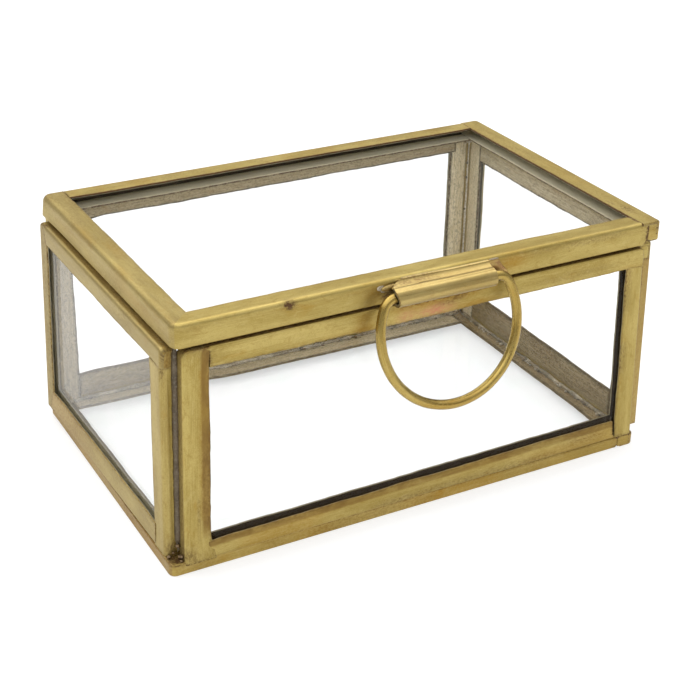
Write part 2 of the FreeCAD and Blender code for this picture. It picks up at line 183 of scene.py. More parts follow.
def channel(sh, o, U, V, W, length, thick, width, seed, start, end, fold_a=0.6, fold_b=0.5, sheet=0.4, inner_width=None,
            hem=0.0, hem_width=1.5, wave=0.05, rough_edge=0.10, sink=0.0, tone=None, tab_a=None, tab_b=None,
            tint=(0, 0, 0, 0), inner=1.0, step=1.0, dirty=0.0, deep=1.0, scale=(1.0, 1.0), painted_light=0.0, hem_from=-9.0, tin_from=0.5, tin_start=-9.0, line=0.0, line_b=1.1):
    """Folded strip: flange A at u = 0 (outside), web at v = 0, flange B at u = thick (inside).

    The sheet keeps its thickness; flanges ripple a little, their free edges wander, and an
    end can be cut square, mitred or run past with a rounded corner and a folded tab.
    """
    o, U, V, W = (np.array(a, float) for a in (o, U, V, W))
    wb = inner_width or width
    nf, na, nw = 11, 6, 6
    t = np.linspace(0, 1, nf + 1)[:-1] ** 1.5
    q = np.linspace(0, math.pi / 2, na + 1)
    lin01 = np.linspace(0, 1, nw + 1)[1:-1]

    def path(d):
        ra, rb = (fold_a, fold_b) if d == 0 else (max(fold_a - d, 0.06), max(fold_b - d, 0.06))
        u = np.concatenate([np.full(nf, d), d + ra - ra * np.cos(q), d + ra + (thick - 2 * d - ra - rb) * lin01,
                            thick - d - rb + rb * np.sin(q), np.full(nf, thick - d)])
        v = np.concatenate([width + (d + ra - width) * t, d + ra - ra * np.sin(q), np.full(nw - 1, d),
                            d + rb - rb * np.cos(q), (wb + (d + rb - wb) * t)[::-1]])
        return u, v

    part = np.concatenate([np.zeros(nf), np.ones(na + 1), np.full(nw - 1, 2), np.full(na + 1, 3), np.full(nf, 4)])
    uo, vo = path(0.0)
    ui, vi = path(sheet)
    K = len(uo)
    run = np.concatenate([[0], np.cumsum(np.hypot(np.diff(uo), np.diff(vo)))])
    # loop: outer path, round free edge, inner path back, round free edge
    u = np.concatenate([uo, [thick - sheet / 2], ui[::-1], [sheet / 2]])
    v = np.concatenate([vo, [wb + sheet * 0.35], vi[::-1], [width + sheet * 0.35]])
    pt = np.concatenate([part, [4], part[::-1], [0]])
    rn = np.concatenate([run, [run[-1] + 0.2], run[::-1], [-0.2]])
    within = np.concatenate([np.zeros(K), [0.3], np.ones(K), [0.3]])
    N = len(u)

    rc0 = start[1] if start[0] in ("mitre", "through") else 0.0
    rc1 = end[1] if end[0] in ("mitre", "through") else 0.0
    ru0 = start[2] if start[0] == "through" and len(start) > 2 else 0.0
    ru1 = end[2] if end[0] == "through" and len(end) > 2 else 0.0
    ws = end_offset(start, v, pt, width)
    we = length - end_offset(end, v, pt, width)
    pos = [0.0, length]
    for rc, flip in ((max(rc0, ru0), False), (max(rc1, ru1), True)):
        if rc > 0:
            e = rc * (1 - np.cos(np.linspace(0, math.pi / 2, 9)[1:]))
            pos += list(length - e if flip else e)
        else:
            pos += [length - 0.25, length - 0.6] if flip else [0.25, 0.6]
    inner_pos = np.linspace(max(rc0, ru0, 0.9), length - max(rc1, ru1, 0.9), max(8, int(length / step)))
    tau = np.unique(np.round(np.concatenate([pos, inner_pos]), 4)) / length
    M = len(tau)

    w = ws[None, :] + tau[:, None] * (we - ws)[None, :]
    shift = round_in(w, rc0) + round_in(length - w, rc1)
    shift = np.minimum(shift, width * 0.8)
    vv = shift + v[None, :] * (width - shift) / width
    grow = scale[0] + (scale[1] - scale[0]) * w / length
    vv = vv * (1 + (grow - 1) * ease((v[None, :] - 0.8) / 1.5))
    uu = np.repeat(u[None, :], M, 0)
    uu = uu + (round_in(w, ru0) + round_in(length - w, ru1)) * np.clip(1 - u / (0.6 * thick), 0, 1)[None, :]
    fa = np.where(pt <= 1, v / width, 0.0)[None, :]
    fb = np.where(pt >= 3, v / wb, 0.0)[None, :]
    near = ease(np.minimum(w, length - w) / 4.0)
    # ripple of the flanges, inwards only, and the hem pressed towards the glass
    uu = uu + wave * (1 - noise(w * 0.055, vv * 0.12, seed, seed)) * fa ** 1.3 * near
    uu = uu - wave * (1 - noise(w * 0.05, vv * 0.12, seed + 5.5, seed + 3)) * fb ** 1.3 * near
    if hem:
        turn = ease((v[None, :] - (width - hem_width)) / hem_width) * (pt <= 1)[None, :]
        uu = uu + hem * turn * (0.8 + 0.25 * noise(w * 0.09, 0, 0, seed + 9)) * ease(np.minimum(w, length - w) / 3.0)
    vv = vv + 0.05 * (1 - noise(w * 0.06, uu * 0.3, 3.3, seed + 21)) * np.where(pt == 2, 1.0, 0.0)[None, :] * near
    drift = rough_edge * (noise(w * 0.13, 0, seed, seed + 31) + 0.45 * noise(w * 0.75, 0, seed, seed + 37))
    drift_b = rough_edge * (noise(w * 0.11, 0, seed, seed + 41) + 0.45 * noise(w * 0.7, 0, seed, seed + 47))
    vv = vv + (drift * fa ** 6 + drift_b * fb ** 6) * near
    uu = uu + sink
    P = o + uu[..., None] * U + vv[..., None] * V + w[..., None] * W

    faces = loop_faces(M, N)
    for i in (0, M - 1):
        a = i * N
        for k in range(K - 1):
            faces.append((a + k, a + k + 1, a + 2 * K - (k + 1), a + 2 * K - k))
        faces.append((a + K - 1, a + K, a + K + 1))
        faces.append((a + 2 * K, a + 2 * K + 1, a))
    along = np.stack([w, np.repeat(rn[None, :], M, 0), np.full_like(w, seed * 7.31)], -1)
    mask = np.zeros((M, N, 4))
    mask[..., 0] = np.where(pt == 4, ease((v - tin_from) / 0.4), 0.0)[None, :] * inner * ease((w - tin_start) / 1.5)
    # Mask G marks the inner side of the channel for the painted shade of its hollow; deep sets how much lighter it
    # turns towards the lip.
    lip = np.where(pt >= 3, 1 - (1 - deep) * ease((v / wb - 0.10) / 0.25), 1 - (1 - deep) * 0.6)
    mask[..., 1] = within[None, :] * lip[None, :]
    mask[0, :, 1] = mask[-1, :, 1] = 0.0
    free = np.maximum(fa, fb)
    from_start = np.abs(w - ws[None, :]) + (99.0 if start[0] == "mitre" else 0.0)
    from_end = np.abs(we[None, :] - w) + (99.0 if end[0] == "mitre" else 0.0)
    edge = np.minimum(from_start, from_end)
    mask[..., 2] = np.maximum(ease((free - 0.90) / 0.07) * (0.7 + 0.3 * (pt == 4)[None, :]), 1 - ease(edge / 0.5))
    mask[..., 3] = ease((fa - (1 - hem_width / width)) / (hem_width / width * 0.3)) * (1.0 if hem > 0.1 else 0.0) * ease((w - hem_from) / 3.0)
    tn = np.zeros((M, N, 4)) + np.array(tint)
    if tone is not None:
        tn = tn + tone(P, pt[None, :] + 0 * w, w, v[None, :] + 0 * w)
    # Painted light: the amount given per piece lightens the inner faces through the grey channel.
    tn[..., 0] += painted_light * (((pt == 4) | ((pt == 3) & (within > 0.5))) + 0.7 * ((pt <= 1) & (within > 0.5)))[None, :]
    if line_b:
        mask[1:-1, K, 1] = 0.0
        tn[:, [K - 1, K, K + 1], 1] += line_b
    if line:
        mask[1:-1, -1, 1] = 0.0
        tn[:, [0, -1, -2], 1] += line
        tn[:, -1, 0] = 0.0
    if dirty:
        tn[..., 1] += dirty * (1 - ease(edge / 2.2))
    sh.add(P, faces, along, mask, tn)
    for tab, style, at, sign, ru in ((tab_a, start, 0.0, 1.0, ru0), (tab_b, end, length, -1.0, ru1)):
        if tab:
            rc = style[1]
            lo = np.array([max(0.10, ru - 0.1), max(rc - 0.35, 0.1), 0.0])
            hi = np.array([thick - 0.10, tab, sheet])
            pv, pf = plate(lo, hi, 0.18, seed + 61, n=(6, 8, 2))
            local = o + (pv[:, :1] + sink) * U + pv[:, 1:2] * V + (at + sign * pv[:, 2:3]) * W
            al = np.stack([pv[:, 1] * 1.0, pv[:, 0], np.full(len(pv), seed * 3.7)], -1)
            tt = np.zeros((len(pv), 4)) + np.array(tint)
            if tone is not None:
                tt = tt + tone(local[None], np.full((1, len(pv)), 2.0), np.full((1, len(pv)), at), pv[None, :, 1])[0]
            sh.add(local, pf, al, None, tt)


def plate(lo, hi, rad, seed, n=(6, 6, 2), lumps=0.015):
    """Plate with rounded edges and a slightly uneven face, as a closed shell."""
    lo, hi = np.array(lo, float), np.array(hi, float)
    h, c = (hi - lo) / 2, (hi + lo) / 2
    rad = min(rad, h.min() * 0.95)
    axes = []
    for k in range(3):
        core = np.linspace(-(h[k] - rad), h[k] - rad, n[k] + 1)
        edge = rad * np.array([1.0, 0.7, 0.35])
        axes.append(np.concatenate([-(h[k] - rad) - edge, core, (h[k] - rad) + edge[::-1]]))
    index, verts, faces = {}, [], []

    def at(i, j, k):
        key = (i, j, k)
        if key not in index:
            index[key] = len(verts)
            verts.append((axes[0][i], axes[1][j], axes[2][k]))
        return index[key]

    sz = [len(a) - 1 for a in axes]
    for fix in range(3):
        a, b = [x for x in range(3) if x != fix]
        for side in (0, sz[fix]):
            for i in range(sz[a]):
                for j in range(sz[b]):
                    quad = []
                    for di, dj in ((0, 0), (1, 0), (1, 1), (0, 1)):
                        key = [0, 0, 0]
                        key[fix], key[a], key[b] = side, i + di, j + dj
                        quad.append(at(*key))
                    faces.append(quad if side else quad[::-1])
    p = np.array(verts)
    core = np.clip(p, -(h - rad), h - rad)
    d = p - core
    ln = np.linalg.norm(d, axis=1, keepdims=True)
    p = core + d / np.maximum(ln, 1e-9) * rad
    p = p + lumps * noise(p[:, 0] * 0.6, p[:, 1] * 0.6, p[:, 2] * 0.6, seed)[:, None] * np.sign(d)
    return p + c, faces


def lump(centre, radii, seed, rough=0.25, n=12):
    """Small uneven solder grain, as a closed shell."""
    verts, faces = [(0, 0, 1.0)], []
    rows = n // 2 + 1
    for i in range(1, rows):
        th = math.pi * i / rows
        for j in range(n):
            ph = 2 * math.pi * j / n
            verts.append((math.sin(th) * math.cos(ph), math.sin(th) * math.sin(ph), math.cos(th)))
    verts.append((0, 0, -1.0))
    for j in range(n):
        faces.append((0, 1 + j, 1 + (j + 1) % n))
        last = 1 + (rows - 2) * n
        faces.append((len(verts) - 1, last + (j + 1) % n, last + j))
    for i in range(rows - 2):
        a, b = 1 + i * n, 1 + (i + 1) * n
        for j in range(n):
            faces.append((a + j, b + j, b + (j + 1) % n, a + (j + 1) % n))
    p = np.array(verts, float)
    p = p * (1 + rough * fbm(p[:, 0] * 1.3 + seed, p[:, 1] * 1.3, p[:, 2] * 1.3, seed))[:, None]
    return p * np.array(radii) + np.array(centre), faces


def bead(sh, p0, p1, A, B, radius, seed, back=0.25, lumpy=0.22, step=0.45, taper=1.2, tone=None):
    """Run of solder in a corner: A and B are the two faces' directions away from it."""
    p0, p1, A, B = (np.array(a, float) for a in (p0, p1, A, B))
    L = np.linalg.norm(p1 - p0)
    W = (p1 - p0) / L
    M = max(6, int(L / step))
    w = np.linspace(0, L, M)
    th = np.linspace(-0.12, math.pi / 2 + 0.12, 11)
    rad = radius * (1 + lumpy * fbm(w * 0.35, 0, 0, seed) + 0.6 * lumpy * noise(w * 1.1, 0, 0, seed + 3))
    rad = rad * (0.55 + 0.45 * ease(np.minimum(w, L - w) / taper))
    ring = []
    for t in th:
        r = rad * (1 + 0.7 * lumpy * fbm(w * 0.9, t * 1.6, 0, seed + 8))
        ring.append(p0 + w[:, None] * W + (r * math.cos(t))[:, None] * A + (r * math.sin(t))[:, None] * B)
    ring.append(p0 + w[:, None] * W - back * A - back * B)
    P = np.stack(ring, 1)
    n = P.shape[1]
    faces = loop_faces(M, n)
    faces.append(tuple(range(n)))
    faces.append(tuple((M - 1) * n + j for j in range(n))[::-1])
    tn = None if tone is None else tone(P)
    sh.add(P, faces, None, None, tn)


def rolled(sh, path, thick, x0, x1, seed, rings=60, tone=None, ends=None, swell=0.02, face=None, side=1):
    """Sheet bent along a path in the YZ plane and running along X; x0 < x1."""
    p = np.array(path, float)
    d = np.gradient(p, axis=0)
    d /= np.linalg.norm(d, axis=1, keepdims=True)
    nrm = np.stack([-d[:, 1], d[:, 0]], 1) * side
    K = len(p)
    outer, innr = p + nrm * thick / 2, p - nrm * thick / 2
    if face is not None:
        outer = outer + nrm * face[:, None]
    tip_b, tip_a = p[-1] + d[-1] * thick * 0.35, p[0] - d[0] * thick * 0.35
    loop = np.concatenate([outer, [tip_b], innr[::-1], [tip_a]])
    nl = np.concatenate([nrm, [[0, 0]], -nrm[::-1], [[0, 0]]])
    N = len(loop)
    run = np.concatenate([[0], np.cumsum(np.linalg.norm(np.diff(p, axis=0), axis=1))])
    rn = np.concatenate([run, [run[-1]], run[::-1], [0]])
    s = np.linspace(0, 1, rings)
    a = np.full(N, x0)
    b = np.full(N, x1)
    if ends is not None:
        k = np.concatenate([np.arange(K), [K - 1], np.arange(K)[::-1], [0]])
        a, b = a + ends[0][k], b + ends[1][k]
    X = a[None, :] + s[:, None] * (b - a)[None, :]
    ripple = swell * noise(X * 0.16, rn[None, :] * 0.5, seed, seed)
    Y = loop[None, :, 0] + ripple * nl[None, :, 0]
    Z = loop[None, :, 1] + ripple * nl[None, :, 1]
    P = np.stack([X, Y, Z], -1)
    faces = loop_faces(rings, N)
    for i in (0, rings - 1):
        o = i * N
        for k in range(K - 1):
            faces.append((o + k, o + k + 1, o + 2 * K - (k + 1), o + 2 * K - k))
        faces.append((o + K - 1, o + K, o + K + 1))
        faces.append((o + 2 * K, o + 2 * K + 1, o))
    along = np.stack([X, np.repeat(rn[None, :], rings, 0), np.full_like(X, seed * 5.1)], -1)
    mask = np.zeros((rings, N, 4))
    mask[..., 1] = np.concatenate([np.zeros(K), [0.3], np.full(K, 0.8), [0.3]])[None, :]
    tn = None if tone is None else tone(P, rn[None, :] + 0 * X)
    sh.add(P, faces, along, mask, tn)


def wire(sh, path, radius, seed, closed=True, sides=20, tone=None, dents=0.012, caps=0):
    """Round wire along a path, with slight flats and dents."""
    p = np.array(path, float)
    M = len(p)
    if closed:
        d = np.roll(p, -1, 0) - np.roll(p, 1, 0)
    else:
        d = np.gradient(p, axis=0)
    d /= np.linalg.norm(d, axis=1, keepdims=True)
    ref = np.array([0.0, 1.0, 0.0])
    n1 = np.cross(d, ref)
    n1 /= np.linalg.norm(n1, axis=1, keepdims=True)
    n2 = np.cross(n1, d)
    s = np.concatenate([[0], np.cumsum(np.linalg.norm(np.diff(p, axis=0), axis=1))])
    th = np.linspace(0, 2 * math.pi, sides, endpoint=False)
    rad = np.full((M, sides), radius)
    ca, sa = np.cos(th), np.sin(th)
    wv = s if not closed else None
    if closed:
        L = s[-1] + np.linalg.norm(p[0] - p[-1])
        g = s / L * 2 * math.pi
        rr = 2.2
        dn = noise(np.cos(g)[:, None] * 4 * rr + ca[None] * 0.8, np.sin(g)[:, None] * 4 * rr + sa[None] * 0.8, seed, seed)
    else:
        dn = noise(wv[:, None] * 0.6 + ca[None] * 0.5, sa[None] * 0.8 + 0 * wv[:, None], seed, seed)
    rad = rad * (1 + dents * dn)
    if not closed and caps:
        e = np.minimum(s, s[-1] - s)
        rad = rad * np.sqrt(np.clip(1 - (1 - np.clip(e / caps, 0, 1)) ** 2, 0.05, 1))[:, None]
    P = p[:, None, :] + rad[..., None] * (ca[None, :, None] * n1[:, None, :] + sa[None, :, None] * n2[:, None, :])
    faces = loop_faces(M, sides, closed)
    if not closed:
        faces.append(tuple(range(sides)))
        faces.append(tuple((M - 1) * sides + j for j in range(sides))[::-1])
    along = np.stack([np.repeat(s[:, None], sides, 1), np.repeat(th[None, :] * radius, M, 0), np.full((M, sides), seed * 2.9)], -1)
    tn = None if tone is None else tone(P)
    sh.add(P, faces, along, None, tn)


# ------------------------------------------------------------------ materials


class Tree:
    """Short hand for building a node tree."""

    def __init__(self, name):
        self.mat = bpy.data.materials.new(name)
        self.mat.use_nodes = True
        self.nt = self.mat.node_tree
        self.nt.nodes.clear()
        self.out = self.nt.nodes.new("ShaderNodeOutputMaterial")

    def new(self, kind, **props):
        n = self.nt.nodes.new(kind)
        for k, v in props.items():
            setattr(n, k, v)
        return n

    def link(self, a, b):
        self.nt.links.new(a, b)

    def feed(self, socket, value):
        if isinstance(value, bpy.types.NodeSocket):
            self.link(value, socket)
        else:
            socket.default_value = value

    def math(self, op, a, b=0.0, clamp=False):
        n = self.new("ShaderNodeMath", operation=op, use_clamp=clamp)
        self.feed(n.inputs[0], a)
        self.feed(n.inputs[1], b)
        return n.outputs[0]

    def ramp(self, x, lo, hi, to_lo=0.0, to_hi=1.0):
        n = self.new("ShaderNodeMapRange", interpolation_type="SMOOTHSTEP")
        self.feed(n.inputs["Value"], x)
        n.inputs["From Min"].default_value = lo
        n.inputs["From Max"].default_value = hi
        n.inputs["To Min"].default_value = to_lo
        n.inputs["To Max"].default_value = to_hi
        return n.outputs[0]

    def mix(self, fac, a, b, blend="MIX"):
        n = self.new("ShaderNodeMix", data_type="RGBA", blend_type=blend, clamp_factor=True)
        self.feed(n.inputs[0], fac)
        self.feed(n.inputs[6], a)
        self.feed(n.inputs[7], b)
        return n.outputs[2]

    def scaled(self, vec, scale):
        n = self.new("ShaderNodeVectorMath", operation="MULTIPLY")
        self.feed(n.inputs[0], vec)
        n.inputs[1].default_value = scale
        return n.outputs[0]

    def noise(self, vec, scale=1.0, detail=3.0, rough=0.55, warp=0.0):
        n = self.new("ShaderNodeTexNoise", noise_dimensions="3D")
        self.feed(n.inputs["Vector"], vec)
        n.inputs["Scale"].default_value = scale
        n.inputs["Detail"].default_value = detail
        n.inputs["Roughness"].default_value = rough
        n.inputs["Distortion"].default_value = warp
        return n.outputs[0]


def lin(r, g, b):
    return tuple((c / 255 / 12.92 if c / 255 <= 0.04045 else ((c / 255 + 0.055) / 1.055) ** 2.4) for c in (r, g, b)) + (1.0,)


def brass(name="worn_brass", rough_low=0.40, rough_high=0.50):
    t = Tree(name)
    al = t.new("ShaderNodeAttribute", attribute_name="along").outputs["Vector"]
    mk = t.new("ShaderNodeAttribute", attribute_name="mask")
    tn = t.new("ShaderNodeAttribute", attribute_name="tone")
    ms = t.new("ShaderNodeSeparateColor")
    t.link(mk.outputs["Color"], ms.inputs[0])
    ts = t.new("ShaderNodeSeparateColor")
    t.link(tn.outputs["Color"], ts.inputs[0])
    inside, within, rim = ms.outputs[0], ms.outputs[1], ms.outputs[2]
    hem = mk.outputs["Alpha"]
    grey, brown, pink = ts.outputs[0], ts.outputs[1], ts.outputs[2]
    orange = tn.outputs["Alpha"]

    broad = t.noise(t.scaled(al, (0.055, 0.22, 1.0)), 1.0, 4.0, 0.55, 0.4)
    cloud = t.noise(t.scaled(al, (0.16, 0.42, 1.0)), 1.0, 5.0, 0.6, 0.6)
    streak = t.noise(t.scaled(al, (0.30, 6.0, 1.0)), 1.0, 4.0, 0.6)
    fine = t.noise(t.scaled(al, (1.7, 2.6, 1.0)), 1.0, 5.0, 0.65, 0.3)
    grain = t.noise(t.scaled(al, (5.0, 8.0, 1.0)), 1.0, 3.0, 0.6)
    scratch = t.noise(t.scaled(al, (0.14, 11.0, 1.0)), 1.0, 2.0, 0.6, 0.25)
    patch = t.noise(t.scaled(al, (0.42, 0.75, 1.3)), 1.0, 5.0, 0.68, 0.9)
    spots = t.noise(t.scaled(al, (2.6, 3.4, 1.7)), 1.0, 3.0, 0.6, 0.8)

    col = t.mix(t.ramp(broad, 0.36, 0.64), lin(163, 142, 77), lin(187, 167, 101))
    col = t.mix(t.math("MULTIPLY", t.ramp(streak, 0.45, 0.68), 0.34), col, lin(200, 180, 114))
    col = t.mix(t.math("MULTIPLY", t.ramp(streak, 0.47, 0.30), 0.22), col, lin(152, 130, 68))
    col = t.mix(t.math("MULTIPLY", t.ramp(fine, 0.54, 0.74), 0.40), col, lin(154, 131, 68))
    col = t.mix(t.math("MULTIPLY", t.ramp(grain, 0.50, 0.68), 0.38), col, lin(198, 178, 114))
    col = t.mix(t.math("MULTIPLY", t.ramp(grain, 0.50, 0.34), 0.32), col, lin(148, 126, 66))
    col = t.mix(t.math("MULTIPLY", t.ramp(scratch, 0.56, 0.70), 0.36), col, lin(206, 187, 124))
    col = t.mix(t.math("MULTIPLY", t.ramp(scratch, 0.44, 0.30), 0.34), col, lin(140, 116, 58))
    col = t.mix(t.math("MULTIPLY", t.ramp(patch, 0.54, 0.68), 0.42), col, lin(148, 121, 58))
    col = t.mix(t.math("MULTIPLY", t.ramp(patch, 0.44, 0.32), 0.30), col, lin(196, 178, 120))
    # Grey channel: a greyer, duller brass; on left-facing outer faces it is painted reflection of a greyer surround,
    # elsewhere a slight grey cast.
    col = t.mix(t.math("MULTIPLY", grey, t.ramp(cloud, 0.25, 0.62, 0.55, 1.0)), col, lin(160, 144, 104))
    warm = t.math("MULTIPLY", t.ramp(cloud, 0.58, 0.76), 0.36)
    warm = t.math("ADD", warm, t.math("MULTIPLY", orange, t.ramp(fine, 0.30, 0.62, 0.45, 1.0)), clamp=True)
    col = t.mix(warm, col, lin(164, 124, 46))
    bronze = t.math("MULTIPLY", hem, t.ramp(cloud, 0.30, 0.65, 0.45, 0.95))
    col = t.mix(bronze, col, lin(130, 102, 54))
    col = t.mix(t.math("MULTIPLY", pink, t.ramp(fine, 0.36, 0.6, 0.35, 1.0)), col, lin(188, 132, 98))
    # Dark brown: real dirt, stains and darker free edges and ends, and also the painted shade and shadows laid in the
    # brown tone.
    dirt_and_painted_shade = t.math("MULTIPLY", brown, t.ramp(fine, 0.38, 0.62, 0.25, 1.0))
    dirt_and_painted_shade = t.math("ADD", dirt_and_painted_shade, t.math("MULTIPLY", t.ramp(spots, 0.66, 0.74), t.ramp(cloud, 0.44, 0.62, 0.0, 0.55)))
    dirt_and_painted_shade = t.math("ADD", dirt_and_painted_shade, t.math("MULTIPLY", rim, t.ramp(fine, 0.40, 0.66, 0.16, 0.66)), clamp=True)
    col = t.mix(dirt_and_painted_shade, col, lin(92, 64, 34))
    tin = t.mix(t.ramp(streak, 0.36, 0.66), lin(130, 111, 74), lin(168, 148, 106))
    tin = t.mix(t.math("MULTIPLY", t.ramp(fine, 0.48, 0.62), 0.66), tin, lin(96, 82, 56))
    tin = t.mix(t.math("MULTIPLY", t.ramp(grain, 0.54, 0.68), 0.62), tin, lin(204, 194, 164))
    tin = t.mix(t.math("MULTIPLY", t.ramp(grain, 0.46, 0.34), 0.45), tin, lin(92, 80, 56))
    tin = t.mix(t.math("MULTIPLY", t.ramp(scratch, 0.58, 0.70), 0.55), tin, lin(196, 184, 150))
    tin = t.mix(t.math("MULTIPLY", t.ramp(cloud, 0.54, 0.72), 0.50), tin, lin(150, 122, 80))
    # Painted light: a lighter copy of the tin for inner faces that catch light through the glass, chosen by the grey
    # channel.
    light = t.mix(t.ramp(streak, 0.36, 0.66), lin(220, 204, 164), lin(250, 238, 208))
    light = t.mix(t.math("MULTIPLY", t.ramp(fine, 0.48, 0.64), 0.62), light, lin(166, 156, 128))
    light = t.mix(t.math("MULTIPLY", t.ramp(scratch, 0.42, 0.30), 0.55), light, lin(140, 130, 108))
    light = t.mix(t.math("MULTIPLY", t.ramp(cloud, 0.56, 0.74), 0.40), light, lin(196, 168, 122))
    tin = t.mix(grey, tin, light)
    tin = t.mix(t.math("MULTIPLY", rim, t.ramp(fine, 0.35, 0.6, 0.45, 1.0)), tin, lin(68, 66, 52))
    tin = t.mix(t.math("MULTIPLY", dirt_and_painted_shade, 0.6), tin, lin(96, 74, 42))
    col = t.mix(inside, col, tin)
    # Painted light and shade in the channel hollows: a lit colour, lighter with the grey channel, turns dark brown
    # towards the fold where mask G is high. The dark brown is painted shade, with some of the sheet's duller inner
    # side.
    painted_light = t.mix(grey, t.mix(fine, lin(134, 124, 96), lin(168, 158, 128)), t.mix(fine, lin(190, 180, 146), lin(224, 214, 184)))
    hollow_light_and_shade = t.mix(t.ramp(within, 0.5, 1.0), painted_light, t.mix(fine, lin(42, 33, 20), lin(76, 60, 36)))
    col = t.mix(t.ramp(within, 0.15, 0.45), col, hollow_light_and_shade)

    b = t.new("ShaderNodeBsdfPrincipled")
    t.link(col, b.inputs["Base Color"])
    metal = t.math("SUBTRACT", 1.0, t.math("MULTIPLY", dirt_and_painted_shade, 0.45), clamp=True)
    metal = t.math("SUBTRACT", metal, t.math("MULTIPLY", within, 0.6), clamp=True)
    metal = t.math("SUBTRACT", metal, t.math("MULTIPLY", inside, 0.60), clamp=True)
    t.link(metal, b.inputs["Metallic"])
    t.link(t.ramp(inside, 0.0, 1.0, 0.5, 0.12), b.inputs["Specular IOR Level"])
    rough = t.math("ADD", t.ramp(streak, 0.3, 0.7, rough_low, rough_high), t.math("MULTIPLY", t.ramp(fine, 0.4, 0.7), 0.08))
    rough = t.math("ADD", rough, t.math("MULTIPLY", dirt_and_painted_shade, 0.15))
    rough = t.math("ADD", rough, t.math("MULTIPLY", inside, 0.06))
    rough = t.math("ADD", rough, t.math("MULTIPLY", within, 0.12), clamp=True)
    t.link(rough, b.inputs["Roughness"])
    high = t.math("ADD", t.math("MULTIPLY", streak, 0.55), t.math("MULTIPLY", grain, 0.30))
    high = t.math("ADD", high, t.math("MULTIPLY", fine, 0.6))
    bump = t.new("ShaderNodeBump")
    bump.inputs["Strength"].default_value = 0.35
    bump.inputs["Distance"].default_value = 0.00007
    t.link(high, bump.inputs["Height"])
    t.link(bump.outputs[0], b.inputs["Normal"])
    t.link(b.outputs[0], t.out.inputs["Surface"])
    return t.mat


def solder():
    t = Tree("grey_solder")
    al = t.new("ShaderNodeAttribute", attribute_name="along").outputs["Vector"]
    tn = t.new("ShaderNodeAttribute", attribute_name="tone")
    ts = t.new("ShaderNodeSeparateColor")
    t.link(tn.outputs["Color"], ts.inputs[0])
    dark, warm = ts.outputs[0], ts.outputs[1]
    big = t.noise(al, 0.55, 4.0, 0.6, 0.5)
    fine = t.noise(al, 2.6, 5.0, 0.65, 0.4)
    col = t.mix(t.ramp(big, 0.35, 0.65), lin(98, 93, 77), lin(142, 136, 114))
    col = t.mix(t.math("MULTIPLY", t.ramp(fine, 0.52, 0.68), 0.8), col, lin(192, 186, 164))
    col = t.mix(t.math("MULTIPLY", t.ramp(fine, 0.47, 0.34), 0.7), col, lin(70, 62, 50))
    col = t.mix(t.math("MULTIPLY", warm, t.ramp(big, 0.35, 0.6, 0.3, 1.0)), col, lin(128, 98, 66))
    col = t.mix(dark, col, lin(76, 64, 54))
    col = t.mix(ts.outputs[2], col, t.mix(t.ramp(fine, 0.4, 0.65), lin(172, 162, 138), lin(222, 212, 190)))
    b = t.new("ShaderNodeBsdfPrincipled")
    t.link(col, b.inputs["Base Color"])
    t.link(t.ramp(ts.outputs[2], 0.0, 1.0, 0.85, 0.25), b.inputs["Metallic"])
    t.link(t.ramp(fine, 0.3, 0.7, 0.28, 0.58), b.inputs["Roughness"])
    bump = t.new("ShaderNodeBump")
    bump.inputs["Strength"].default_value = 0.6
    bump.inputs["Distance"].default_value = 0.00015
    t.link(t.math("ADD", fine, t.math("MULTIPLY", big, 0.6)), bump.inputs["Height"])
    t.link(bump.outputs[0], b.inputs["Normal"])
    t.link(b.outputs[0], t.out.inputs["Surface"])
    return t.mat


def glass():
    t = Tree("clear_glass")
    at = t.new("ShaderNodeTexCoord").outputs["Object"]
    smear = t.noise(at, 90.0, 4.0, 0.6, 0.8)
    b = t.new("ShaderNodeBsdfPrincipled")
    t.link(t.mix(t.ramp(smear, 0.4, 0.7), lin(255, 255, 255), lin(252, 254, 253)), b.inputs["Base Color"])
    b.inputs["Transmission Weight"].default_value = 1.0
    b.inputs["IOR"].default_value = 1.2
    b.inputs["Specular IOR Level"].default_value = 0.05
    t.link(t.ramp(smear, 0.5, 0.8, 0.0, 0.012), b.inputs["Roughness"])
    clear = t.new("ShaderNodeBsdfTransparent")
    clear.inputs[0].default_value = (0.985, 0.99, 0.987, 1.0)
    path = t.new("ShaderNodeLightPath")
    m = t.new("ShaderNodeMixShader")
    t.link(path.outputs["Is Shadow Ray"], m.inputs[0])
    t.link(b.outputs[0], m.inputs[1])
    t.link(clear.outputs[0], m.inputs[2])
    t.link(m.outputs[0], t.out.inputs["Surface"])
    return t.mat


def floor_finish():
    t = Tree("pale_floor")
    at = t.new("ShaderNodeTexCoord").outputs["Object"]
    n = t.noise(at, 3.0, 3.0, 0.5)
    b = t.new("ShaderNodeBsdfPrincipled")
    t.link(t.mix(n, (0.43, 0.43, 0.43, 1.0), (0.46, 0.46, 0.46, 1.0)), b.inputs["Base Color"])
    t.link(t.ramp(n, 0.3, 0.7, 0.75, 0.85), b.inputs["Roughness"])
    b.inputs["Specular IOR Level"].default_value = 0.1
    b.inputs["Emission Color"].default_value = (1.0, 1.0, 1.0, 1.0)
    b.inputs["Emission Strength"].default_value = 0.61
    t.link(b.outputs[0], t.out.inputs["Surface"])
    return t.mat


BRASS, SOLDER, GLASS = brass(), solder(), glass()
WIRE = brass("rubbed_brass", 0.20, 0.32)
ROLL = brass("rolled_brass", 0.27, 0.38)

# ------------------------------------------------------------------ stains, painted shade and painted reflection, by place
X, Y, Z = (1, 0, 0), (0, 1, 0), (0, 0, 1)
NX, NY, NZ = (-1, 0, 0), (0, -1, 0), (0, 0, -1)


def zeros(P):
    return np.zeros(P.shape[:-1] + (4,))


